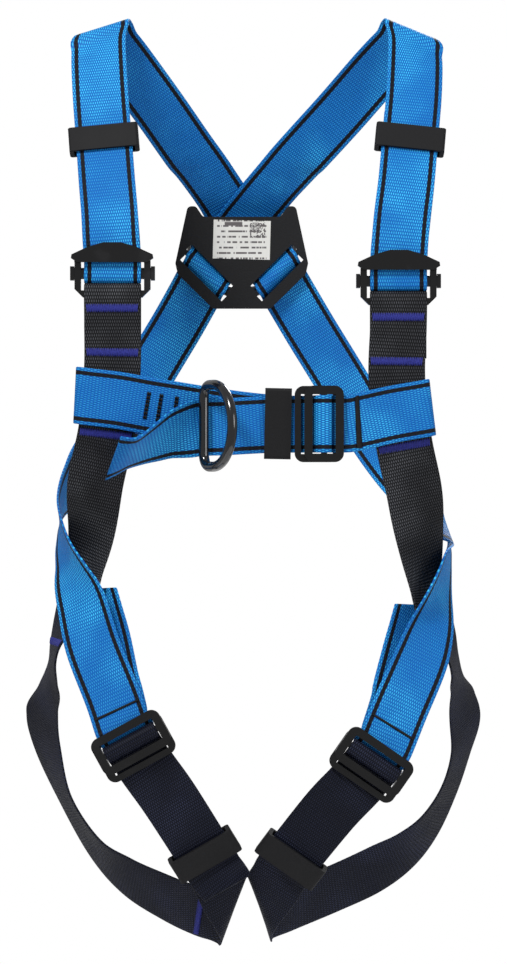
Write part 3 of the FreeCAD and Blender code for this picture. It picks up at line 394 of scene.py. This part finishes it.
class Nodes:
    """A material's node tree, with one short call for each kind of node it needs."""

    def __init__(self, name):
        self.material = bpy.data.materials.new(name)
        self.material.use_nodes = True
        self.tree = self.material.node_tree
        self.shader = self.tree.nodes["Principled BSDF"]

    def put(self, socket, value):
        """Link a socket, or set a constant on it."""
        if isinstance(value, bpy.types.NodeSocket):
            self.tree.links.new(value, socket)
        else:
            socket.default_value = value

    def math(self, operation, first, second=0.0, third=0.0):
        node = self.tree.nodes.new("ShaderNodeMath")
        node.operation = operation
        for socket, value in zip(node.inputs, (first, second, third)):
            self.put(socket, value)
        return node.outputs[0]

    def step(self, value, low, high):
        """0 below low, 1 above high, smooth in between."""
        node = self.tree.nodes.new("ShaderNodeMapRange")
        node.interpolation_type = "SMOOTHSTEP"
        self.put(node.inputs["Value"], value)
        self.put(node.inputs["From Min"], low)
        self.put(node.inputs["From Max"], high)
        return node.outputs["Result"]

    def mix(self, amount, first, second):
        node = self.tree.nodes.new("ShaderNodeMix")
        node.data_type = "RGBA"
        self.put(node.inputs["Factor"], amount)
        self.put(node.inputs["A"], first)
        self.put(node.inputs["B"], second)
        return node.outputs["Result"]

    def noise(self, scale, detail=3.0, vector=None):
        node = self.tree.nodes.new("ShaderNodeTexNoise")
        self.put(node.inputs["Scale"], scale)
        self.put(node.inputs["Detail"], detail)
        if vector is None:
            vector = self.object_place()
        self.put(node.inputs["Vector"], vector)
        return node.outputs["Fac"]

    def object_place(self):
        return self.tree.nodes.new("ShaderNodeTexCoord").outputs["Object"]

    def strap_place(self):
        """Millimetres across the strap and along it, from its UV map."""
        coordinates = self.tree.nodes.new("ShaderNodeTexCoord").outputs["UV"]
        parts = self.tree.nodes.new("ShaderNodeSeparateXYZ")
        self.put(parts.inputs[0], coordinates)
        return parts.outputs["X"], parts.outputs["Y"]

    def bump(self, height, distance, strength=1.0):
        node = self.tree.nodes.new("ShaderNodeBump")
        self.put(node.inputs["Height"], height)
        self.put(node.inputs["Distance"], distance)
        self.put(node.inputs["Strength"], strength)
        self.put(self.shader.inputs["Normal"], node.outputs[0])

    def set(self, **values):
        for name, value in values.items():
            self.put(self.shader.inputs[name.replace("_", " ")], value)


# ---- materials -------------------------------------------------------------------------

def webbing_material(name, dark, light, striped):
    """Ribbed webbing: crosswise ribs of short floats, offset on every other rib, with a painted highlight on
    each float and painted shade in the valleys between ribs.
    """
    nodes = Nodes(name)
    across, along = nodes.strap_place()
    rib = nodes.math("DIVIDE", along, RIB_PITCH)
    rib_index = nodes.math("FLOOR", rib)
    rib_part = nodes.math("SUBTRACT", rib, rib_index)
    ridge = nodes.math("SINE", nodes.math("MULTIPLY", rib_part, math.pi))
    odd = nodes.math("MULTIPLY", nodes.math("PINGPONG", rib_index, 1.0), 0.5)
    float_place = nodes.math("ADD", nodes.math("DIVIDE", across, FLOAT_PITCH), odd)
    float_part = nodes.math("PINGPONG", float_place, 0.5)
    yarn = nodes.step(float_part, 0.12, 0.34)
    weave = nodes.math("MULTIPLY", ridge, yarn)
    wear_and_sheen = nodes.noise(60.0, 4.0)
    painted_highlight_patch = nodes.step(nodes.noise(14.0, 2.0), 0.42, 0.66)
    # Painted highlight: the floats on each rib top are mixed toward the light colour, and the rib valleys
    # stay at the dark colour as painted shade. Noise patches vary the strength of the painted highlight, and
    # the same wear noise also sets the roughness.
    painted_rib_highlight = nodes.math("MULTIPLY", weave, nodes.math("MULTIPLY_ADD", painted_highlight_patch, 0.55, 0.36))
    painted_rib_highlight = nodes.math("MULTIPLY", painted_rib_highlight, nodes.math("MULTIPLY_ADD", wear_and_sheen, 0.8, 0.5))
    color = nodes.mix(painted_rib_highlight, dark, light)
    if striped:
        from_edge = nodes.math("PINGPONG", across, WEB_WIDTH / 2)
        inner = nodes.step(from_edge, 2.6, 2.95)
        outer = nodes.step(from_edge, 6.2, 5.85)
        stripe = nodes.math("MULTIPLY", inner, outer)
        color = nodes.mix(stripe, color, (0.006, 0.007, 0.011, 1.0))
    nodes.set(Base_Color=color, Roughness=nodes.math("MULTIPLY_ADD", wear_and_sheen, 0.25, 0.42),
              Specular_IOR_Level=0.12)
    nodes.bump(weave, 0.0005, 0.9)
    return nodes.material


def thread_material(name, dark, light):
    """Twisted sewing thread with a slight gloss."""
    nodes = Nodes(name)
    twist = nodes.noise(900.0, 2.0)
    nodes.set(Base_Color=nodes.mix(twist, dark, light), Specular_IOR_Level=0.2,
              Roughness=nodes.math("MULTIPLY_ADD", twist, 0.2, 0.45))
    nodes.bump(twist, 0.0002, 0.6)
    return nodes.material


def steel_material(name, base, worn, roughness, coat):
    """Coated steel, rubbed paler in patches, with fine orange peel."""
    nodes = Nodes(name)
    rub = nodes.step(nodes.noise(35.0, 6.0), 0.52, 0.80)
    grain = nodes.noise(500.0, 2.0)
    nodes.set(Base_Color=nodes.mix(rub, base, worn), Metallic=0.25, Coat_Weight=coat, Coat_Roughness=0.12,
              Roughness=nodes.math("MULTIPLY_ADD", rub, 0.18, roughness))
    nodes.bump(grain, 0.0002, 0.25)
    return nodes.material


def moulded_material(name, base, light, scale, roughness):
    """Moulded black plastic or rubber with a fine grain."""
    nodes = Nodes(name)
    grain = nodes.noise(scale, 4.0)
    cloud = nodes.noise(25.0, 3.0)
    nodes.set(Base_Color=nodes.mix(nodes.math("MULTIPLY", grain, cloud), base, light),
              Roughness=nodes.math("MULTIPLY_ADD", cloud, 0.2, roughness), Specular_IOR_Level=0.25)
    nodes.bump(grain, 0.0004, 0.5)
    return nodes.material


def label_heading(nodes, across, up):
    """A plain dark bar where a label has its heading."""
    wide = nodes.step(nodes.math("ABSOLUTE", nodes.math("SUBTRACT", across, -0.007)), 0.0078, 0.0072)
    high = nodes.step(nodes.math("ABSOLUTE", nodes.math("SUBTRACT", up, LABEL_TOP - 0.0035)), 0.0018, 0.0014)
    return nodes.math("MULTIPLY", wide, high)


def label_mosaic(nodes, across, up):
    """A square of random little blocks in the upper right corner."""
    side = nodes.math("ABSOLUTE", nodes.math("SUBTRACT", across, 0.0135))
    height = nodes.math("ABSOLUTE", nodes.math("SUBTRACT", up, LABEL_TOP - 0.0090))
    square = nodes.math("MULTIPLY", nodes.step(side, 0.0066, 0.0064), nodes.step(height, 0.0066, 0.0064))
    blocks = nodes.tree.nodes.new("ShaderNodeTexWhiteNoise")
    blocks.noise_dimensions = "2D"
    place = nodes.tree.nodes.new("ShaderNodeCombineXYZ")
    nodes.put(place.inputs["X"], nodes.math("FLOOR", nodes.math("DIVIDE", across, MOSAIC_BLOCK)))
    nodes.put(place.inputs["Y"], nodes.math("FLOOR", nodes.math("DIVIDE", up, MOSAIC_BLOCK)))
    nodes.put(blocks.inputs["Vector"], place.outputs[0])
    return nodes.math("MULTIPLY", square, nodes.step(blocks.outputs["Value"], 0.48, 0.52))


def label_material():
    """Pale card with rows of generic printed bars, a blank heading bar and a block mosaic."""
    nodes = Nodes("label_cream")
    parts = nodes.tree.nodes.new("ShaderNodeSeparateXYZ")
    nodes.put(parts.inputs[0], nodes.object_place())
    across, up = parts.outputs["X"], parts.outputs["Z"]
    line = nodes.math("PINGPONG", nodes.math("DIVIDE", up, LABEL_ROW), 0.5)
    row = nodes.step(line, 0.30, 0.36)
    index = nodes.math("FLOOR", nodes.math("DIVIDE", up, LABEL_ROW))
    words = nodes.tree.nodes.new("ShaderNodeTexNoise")
    words.noise_dimensions = "2D"
    place = nodes.tree.nodes.new("ShaderNodeCombineXYZ")
    nodes.put(place.inputs["X"], nodes.math("MULTIPLY", across, 420.0))
    nodes.put(place.inputs["Y"], nodes.math("MULTIPLY", index, 7.3))
    nodes.put(words.inputs["Vector"], place.outputs[0])
    nodes.put(words.inputs["Scale"], 1.0)
    letters = nodes.step(words.outputs["Fac"], 0.44, 0.50)
    inside = nodes.step(nodes.math("ABSOLUTE", across), LABEL_INK_HALF + 0.0005, LABEL_INK_HALF - 0.0005)
    ink = nodes.math("MULTIPLY", nodes.math("MULTIPLY", row, letters), inside)
    ink = nodes.math("MAXIMUM", ink, label_heading(nodes, across, up))
    ink = nodes.math("MAXIMUM", ink, label_mosaic(nodes, across, up))
    card = nodes.mix(nodes.noise(60.0), (0.60, 0.59, 0.55, 1), (0.72, 0.71, 0.67, 1))
    nodes.set(Base_Color=nodes.mix(ink, card, (0.10, 0.09, 0.09, 1)), Roughness=0.45)
    return nodes.material


def floor_material():
    nodes = Nodes("pale_floor")
    nodes.set(Base_Color=nodes.mix(nodes.noise(3.0), (0.90, 0.90, 0.90, 1), (0.93, 0.93, 0.93, 1)),
              Roughness=0.9)
    return nodes.material


# For each webbing, the first colour is its painted shade in the rib valleys and the second is its painted
# highlight on the floats.
BLUE = webbing_material("webbing_blue", (0.002, 0.095, 0.40, 1), (0.06, 0.60, 1.0, 1), True)
DARK = webbing_material("webbing_dark", (0.002, 0.002, 0.003, 1), (0.12, 0.125, 0.14, 1), False)
NAVY = webbing_material("webbing_navy", (0.001, 0.0015, 0.005, 1), (0.030, 0.036, 0.075, 1), False)
VIOLET = thread_material("thread_violet", (0.006, 0.008, 0.09, 1), (0.040, 0.048, 0.33, 1))
BLACK_THREAD = thread_material("thread_black", (0.001, 0.001, 0.002, 1), (0.006, 0.006, 0.008, 1))
STEEL = steel_material("steel_black", (0.002, 0.002, 0.0025, 1), (0.009, 0.009, 0.011, 1), 0.24, 0.15)
GLOSS = steel_material("steel_gloss", (0.003, 0.003, 0.004, 1), (0.010, 0.010, 0.013, 1), 0.14, 0.8)
RUBBER = moulded_material("keeper_rubber", (0.0015, 0.0015, 0.002, 1), (0.010, 0.010, 0.012, 1), 1200.0, 0.6)
PLASTIC = moulded_material("plastic_black", (0.002, 0.002, 0.0025, 1), (0.012, 0.012, 0.014, 1), 700.0, 0.5)
LABEL = label_material()


# ---- webbing ---------------------------------------------------------------------------

def smooth(stations, steps):
    """Points on a Catmull-Rom curve through the stations, each with its direction across."""
    points = []
    last = len(stations) - 1
    for index in range(last):
        before = stations[max(index - 1, 0)]
        start, end = stations[index], stations[index + 1]
        after = stations[min(index + 2, last)]
        for step in range(steps):
            part = step / steps
            points.append([0.5 * (2 * b + (c - a) * part + (2 * a - 5 * b + 4 * c - d) * part ** 2
                                  + (3 * b - a - 3 * c + d) * part ** 3)
                           for a, b, c, d in zip(before, start, end, after)])
    points.append(list(stations[last]))
    return points


def even_rows(stations):
    """The curve again, in steps of equal length."""
    points = smooth(stations, 12)
    lengths = [0.0]
    for before, after in zip(points, points[1:]):
        lengths.append(lengths[-1] + math.dist(before[:3], after[:3]))
    count = max(4, round(lengths[-1] / ROW_STEP))
    rows = []
    index = 0
    for step in range(count + 1):
        target = lengths[-1] * step / count
        while index < len(points) - 2 and lengths[index + 1] < target:
            index += 1
        part = (target - lengths[index]) / max(1e-9, lengths[index + 1] - lengths[index])
        rows.append([a + (b - a) * part for a, b in zip(points[index], points[index + 1])])
    return rows, lengths[-1]


class Strap:
    """A length of webbing: its mesh, and places on its face for stitches."""

    def __init__(self, name, stations, material):
        rows, self.length = even_rows(stations)
        self.frames = []
        for index, row in enumerate(rows):
            ahead = rows[min(index + 1, len(rows) - 1)]
            behind = rows[max(index - 1, 0)]
            run = (Vector(ahead[:3]) - Vector(behind[:3])).normalized()
            across = Vector(row[3:]).normalized()
            slant = max(0.6, run.cross(across).length)
            face = run.cross(across).normalized()
            travel = self.length * index / (len(rows) - 1)
            self.frames.append((Vector(row[:3]), across / slant, face, run, travel))
        self.object = self.build(name, material)

    def build(self, name, material):
        """Rows of a flat section with rounded selvedges, joined into a closed skin."""
        section = self.section()
        size = len(section)
        places, corners = [], []
        for middle, across, face, run, travel in self.frames:
            for width, depth in section:
                offset = across * width
                places.append((middle + offset + face * depth) * MM)
                corners.append((width + WEB_WIDTH / 2, travel + offset.dot(run)))
        faces = []
        for row in range(len(self.frames) - 1):
            for item in range(size):
                following = (item + 1) % size
                faces.append((row * size + item, row * size + following,
                              (row + 1) * size + following, (row + 1) * size + item))
        faces.append(tuple(range(size - 1, -1, -1)))
        last = (len(self.frames) - 1) * size
        faces.append(tuple(range(last, last + size)))
        mesh = bpy.data.meshes.new(name)
        mesh.from_pydata(places, [], faces)
        uv = mesh.uv_layers.new(name="strap")
        for loop in mesh.loops:
            uv.data[loop.index].uv = corners[loop.vertex_index]
        mesh.polygons.foreach_set("use_smooth", [True] * len(mesh.polygons))
        mesh.materials.append(material)
        mesh.update()
        piece = bpy.data.objects.new(name, mesh)
        bpy.context.collection.objects.link(piece)
        return piece

    def section(self):
        half = WEB_WIDTH / 2
        thick = WEB_THICK / 2
        front = [(-half + inset, thick * lift) for inset, lift in
                 ((0.05, 0.35), (0.35, 0.85), (1.0, 1.0), (4.0, 1.04), (11.0, 1.0))]
        top = front + [(0.0, thick)] + [(-width, depth) for width, depth in reversed(front)]
        return top + [(width, -depth) for width, depth in reversed(top)]

    def at(self, travel, width, lift, side):
        """A point above one face: millimetres along, across from the middle, and out."""
        travel = min(max(travel, 0.0), self.length)
        place = travel / self.length * (len(self.frames) - 1)
        index = min(int(place), len(self.frames) - 2)
        part = place - index
        first, second = self.frames[index], self.frames[index + 1]
        middle = first[0].lerp(second[0], part)
        across = first[1].lerp(second[1], part)
        face = first[2].lerp(second[2], part)
        return middle + across * width + face * side * (WEB_THICK / 2 + lift)

    def nearest(self, target):
        """How far along the strap comes closest to a point."""
        best = min(self.frames, key=lambda frame: (frame[0] - Vector(target)).length)
        return best[4]


# ---- stitches --------------------------------------------------------------------------

class Stitches:
    """One mesh of sewn threads."""

    def __init__(self, name, material):
        self.name = name
        self.material = material
        self.places = []
        self.faces = []

    def thread(self, start, end, radius, normal):
        """A short bowed stitch between two points."""
        along = end - start
        if along.length < 1e-6:
            return
        along.normalize()
        side = along.cross(normal).normalized()
        up = side.cross(along)
        base = len(self.places)
        sides = 6
        for part, swell, lift in ((0.0, 0.45, -0.5), (0.2, 1.0, 0.1), (0.8, 1.0, 0.1), (1.0, 0.45, -0.5)):
            middle = start.lerp(end, part) + up * (radius * lift)
            for corner in range(sides):
                turn = 2 * math.pi * corner / sides
                offset = (side * math.cos(turn) + up * math.sin(turn)) * (radius * swell)
                self.places.append((middle + offset) * MM)
        for ring in range(3):
            for corner in range(sides):
                following = (corner + 1) % sides
                low = base + ring * sides
                self.faces.append((low + corner, low + following, low + sides + following,
                                   low + sides + corner))
        self.faces.append(tuple(base + corner for corner in reversed(range(sides))))
        self.faces.append(tuple(base + 3 * sides + corner for corner in range(sides)))

    def line(self, strap, start, end, side, radius=0.42, pitch=3.2, gap=0.7):
        """A run of stitches between two (along, across) places of a strap."""
        length = math.dist(start, end)
        count = max(1, round(length / pitch))
        for index in range(count):
            low = index / count
            high = (index + 1 - gap / pitch) / count
            ends = []
            for part in (low, high):
                travel = start[0] + (end[0] - start[0]) * part
                width = start[1] + (end[1] - start[1]) * part
                ends.append(strap.at(travel, width, radius * 0.6, side))
            normal = strap.at(start[0], 0, 2, side) - strap.at(start[0], 0, 0, side)
            self.thread(ends[0], ends[1], radius, normal)

    def bartack(self, strap, travel, side, width=41.0, height=6.7, radius=0.45, pitch=1.35):
        """A dense zigzag block across the strap."""
        count = round(width / pitch)
        for index in range(count):
            near = -width / 2 + index * pitch
            low = strap.at(travel - height / 2, near, radius * 0.7, side)
            high = strap.at(travel + height / 2, near + pitch / 2, radius * 0.7, side)
            back = strap.at(travel - height / 2, near + pitch, radius * 0.7, side)
            normal = strap.at(travel, near, 2, side) - strap.at(travel, near, 0, side)
            self.thread(low, high, radius, normal)
            self.thread(high, back, radius, normal)

    def finish(self, body):
        mesh = bpy.data.meshes.new(self.name)
        mesh.from_pydata(self.places, [], self.faces)
        mesh.polygons.foreach_set("use_smooth", [True] * len(mesh.polygons))
        mesh.materials.append(self.material)
        piece = bpy.data.objects.new(self.name, mesh)
        bpy.context.collection.objects.link(piece)
        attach(piece, body)
        return piece


# ---- straps of the harness -------------------------------------------------------------

def weave(side):
    """Stations of a shoulder strap through the two slots on one side of the dorsal plate."""
    upper_x = 30.0 - WEAVE_RUN[0] * 5.25
    upper_z = -42.0 - WEAVE_RUN[1] * 5.25
    return [(side * (upper_x + WEAVE_RUN[0] * past), depth, upper_z + WEAVE_RUN[1] * past,
             0.707, 0, side * 0.707) for past, depth in WEAVE]


def turn(place, across):
    """Stations of the webbing's turn round a buckle plate's middle bar, from its back layer."""
    run = BUCKLE_RUN[place].normalized()
    middle = BUCKLE_AT[place]
    return [tuple(middle + run * along + Vector((0, depth, 0))) + across
            for along, depth in reversed(FOLD)]


def long_strap(name, shoulder, side, hip, thigh, nodes):
    strap = Strap(name, shoulder + weave(side) + hip[1:-1] + thigh, BLUE)
    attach(strap.object, "webbing")
    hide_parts(*nodes)
    return strap


def plain_strap(name, stations, material, nodes):
    strap = Strap(name, stations, material)
    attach(strap.object, "webbing")
    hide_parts(*nodes)
    return strap


def buckle_strap(name, stations, material, nodes):
    """Webbing whose route runs along the harness up to its buckle, and round the buckle plate from there."""
    strap = Strap(name, stations, material)
    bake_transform(strap.object)
    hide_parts(*nodes)
    return strap


def snug(stations, fold_height):
    """The same route, with the fold at its top pulled up against the webbing above it."""
    return [(x, y, z + (FOLD_LIFT if z > fold_height else 0.0), *across)
            for x, y, z, *across in stations]


shoulder_left = long_strap("webbing_from_left_shoulder", SHOULDER_LEFT, 1, HIP_RIGHT, THIGH_RIGHT,
                           ("shoulder_strap_left", "hip_strap_right", "thigh_strap_right"))
shoulder_right = long_strap("webbing_from_right_shoulder", SHOULDER_RIGHT, -1, HIP_LEFT, THIGH_LEFT,
                            ("shoulder_strap_right", "hip_strap_left", "thigh_strap_left"))
front_left = plain_strap("front_webbing_left", snug(FRONT_LEFT, -72.0), DARK,
                         ("front_strap_left",))
front_right = plain_strap("front_webbing_right", snug(FRONT_RIGHT, -78.0), DARK,
                          ("front_strap_right",))
chest_right = plain_strap("chest_webbing_right", CHEST_RIGHT, BLUE,
                          ("chest_strap_right",))
chest_left = buckle_strap("chest_webbing_left", CHEST_LEFT + turn("chest", (0, 0, 1)) + CHEST_TAIL,
                          BLUE,
                          ("chest_strap_left", "strap_turn_chest", "chest_tail"))
leg_left = plain_strap("leg_webbing_left", LEG_LEFT[:-4], NAVY, ("leg_strap_left",))
leg_right = plain_strap("leg_webbing_right", LEG_RIGHT[:-4], NAVY, ("leg_strap_right",))
leg_end_left = buckle_strap("leg_webbing_end_left",
                            LEG_LEFT[-5:] + turn("leg_left", (0.877, 0.0, 0.48)) + LEG_TAIL_LEFT,
                            NAVY, ("strap_turn_leg_left", "leg_tail_left"))
leg_end_right = buckle_strap("leg_webbing_end_right",
                             LEG_RIGHT[-5:] + turn("leg_right", (0.822, 0.0, -0.57)) + LEG_TAIL_RIGHT,
                             NAVY, ("strap_turn_leg_right", "leg_tail_right"))


def outward(strap, travel):
    """+1 or -1: the face of the strap that looks to the front there."""
    near = strap.at(travel, 0, 5, 1) - strap.at(travel, 0, 0, 1)
    return 1 if near.y < 0 else -1


def sew_bartacks():
    stitches = Stitches("bartacks", VIOLET)
    for strap, target in ((front_left, (-101.5, -197, -83)), (front_left, (-101.5, -195, -118)),
                          (front_left, (-106, -193, -181)), (front_right, (124.7, -197, -88.5)),
                          (front_right, (124, -195, -125)), (front_right, (129, -193, -192)),
                          (leg_left, (-149, -142, -348)), (leg_left, (-32, -100, -576))):
        travel = strap.nearest(target)
        stitches.bartack(strap, travel, outward(strap, travel))
    stitches.finish("webbing")


def sew_black_lines():
    stitches = Stitches("black_stitching", BLACK_THREAD)
    for target in (-75.0, -64.0, -52.0):
        travel = chest_left.nearest((target, -198, -160))
        side = outward(chest_left, travel)
        for shift in (-0.8, 0.8):
            stitches.line(chest_left, (travel + shift, -11), (travel + shift, 11), side, radius=0.8, gap=0.1)
    travel = chest_right.nearest((91, -205, -173))
    side = outward(chest_right, travel)
    stitches.bartack(chest_right, travel, side, width=40, height=4.6, radius=0.6, pitch=1.0)
    for strap, target in ((shoulder_right, (-96, -201, -400)), (shoulder_left, (118, -202, -412))):
        travel = strap.nearest(target)
        side = outward(strap, travel)
        stitches.bartack(strap, travel, side, width=37, height=2.0, radius=0.6, pitch=1.0)
    stitches.finish("webbing")


sew_bartacks()
sew_black_lines()


# ---- hardware --------------------------------------------------------------------------

def dress(node, material, bevel=0.0):
    """A frame node keeps its shape, with softened edges and its own material."""
    piece = frame["nodes"][node]
    piece.data.materials.clear()
    piece.data.materials.append(material)
    if bevel:
        edges = piece.modifiers.new("edges", "BEVEL")
        edges.width = bevel * MM
        edges.segments = 3
        edges.limit_method = "ANGLE"
        edges.angle_limit = math.radians(35)


for side in ("left", "right"):
    dress("adjuster_frame_" + side, STEEL, 0.7)
    dress("adjuster_bar_" + side, STEEL, 0.5)
    dress("shoulder_keeper_" + side, RUBBER, 1.2)
    dress("leg_keeper_" + side, RUBBER, 1.2)
for place in ("chest", "leg_left", "leg_right"):
    dress("buckle_plate_" + place, STEEL, 0.9)
    dress("buckle_frame_" + place, STEEL, 0.9)
dress("chest_keeper", RUBBER, 1.2)
dress("dorsal_plate", PLASTIC, 0.9)
dress("dorsal_label", LABEL)
dress("dorsal_ring", GLOSS)
dress("chest_ring", GLOSS)


# ---- stage, light and camera -----------------------------------------------------------

def floor():
    mesh = bpy.data.meshes.new("floor")
    rim = []
    for index in range(FLOOR_SIDES):
        angle = 2 * math.pi * index / FLOOR_SIDES
        rim.append((FLOOR_RADIUS * math.cos(angle), FLOOR_RADIUS * math.sin(angle), FLOOR_HEIGHT))
    mesh.from_pydata(rim, [], [tuple(range(FLOOR_SIDES))])
    mesh.materials.append(floor_material())
    piece = bpy.data.objects.new("floor", mesh)
    bpy.context.collection.objects.link(piece)


def area_light(name, place, target, size, power):
    data = bpy.data.lights.new(name, "AREA")
    data.shape = "DISK"
    data.size = size
    data.energy = power
    light = bpy.data.objects.new(name, data)
    light.location = place
    light.rotation_euler = (Vector(target) - Vector(place)).to_track_quat("-Z", "Y").to_euler()
    bpy.context.collection.objects.link(light)


def world():
    """White where the camera sees it, and dimmer as a light, so that the lamps shape things."""
    scene = bpy.context.scene
    scene.world = bpy.data.worlds.new("studio")
    scene.world.use_nodes = True
    background = scene.world.node_tree.nodes["Background"]
    background.inputs["Color"].default_value = (1, 1, 1, 1)
    background.inputs["Strength"].default_value = 1.0
    tree = scene.world.node_tree
    dim = tree.nodes.new("ShaderNodeBackground")
    dim.inputs["Color"].default_value = (1, 1, 1, 1)
    dim.inputs["Strength"].default_value = AMBIENT
    choose = tree.nodes.new("ShaderNodeMixShader")
    seen = tree.nodes.new("ShaderNodeLightPath")
    tree.links.new(seen.outputs["Is Camera Ray"], choose.inputs["Fac"])
    tree.links.new(dim.outputs[0], choose.inputs[1])
    tree.links.new(background.outputs[0], choose.inputs[2])
    tree.links.new(choose.outputs[0], tree.nodes["World Output"].inputs["Surface"])
    scene.view_settings.view_transform = "Standard"


def camera():
    data = bpy.data.cameras.new("camera")
    data.sensor_fit = "VERTICAL"
    data.sensor_height = 36
    data.lens = 113.4
    eye = bpy.data.objects.new("camera", data)
    eye.location = (0.010, -2.595, -0.220)
    eye.rotation_euler = (math.radians(90), 0, 0)
    bpy.context.collection.objects.link(eye)
    bpy.context.scene.camera = eye


floor()
area_light("key", (-0.9, -1.9, 1.7), (0, -0.1, -0.2), 0.7, 62)
area_light("fill", (1.6, -1.6, 0.2), (0, -0.1, -0.3), 1.2, 16)
area_light("back", (0.6, 1.9, 1.1), (0, 0, -0.2), 1.2, 34)
world()
camera()
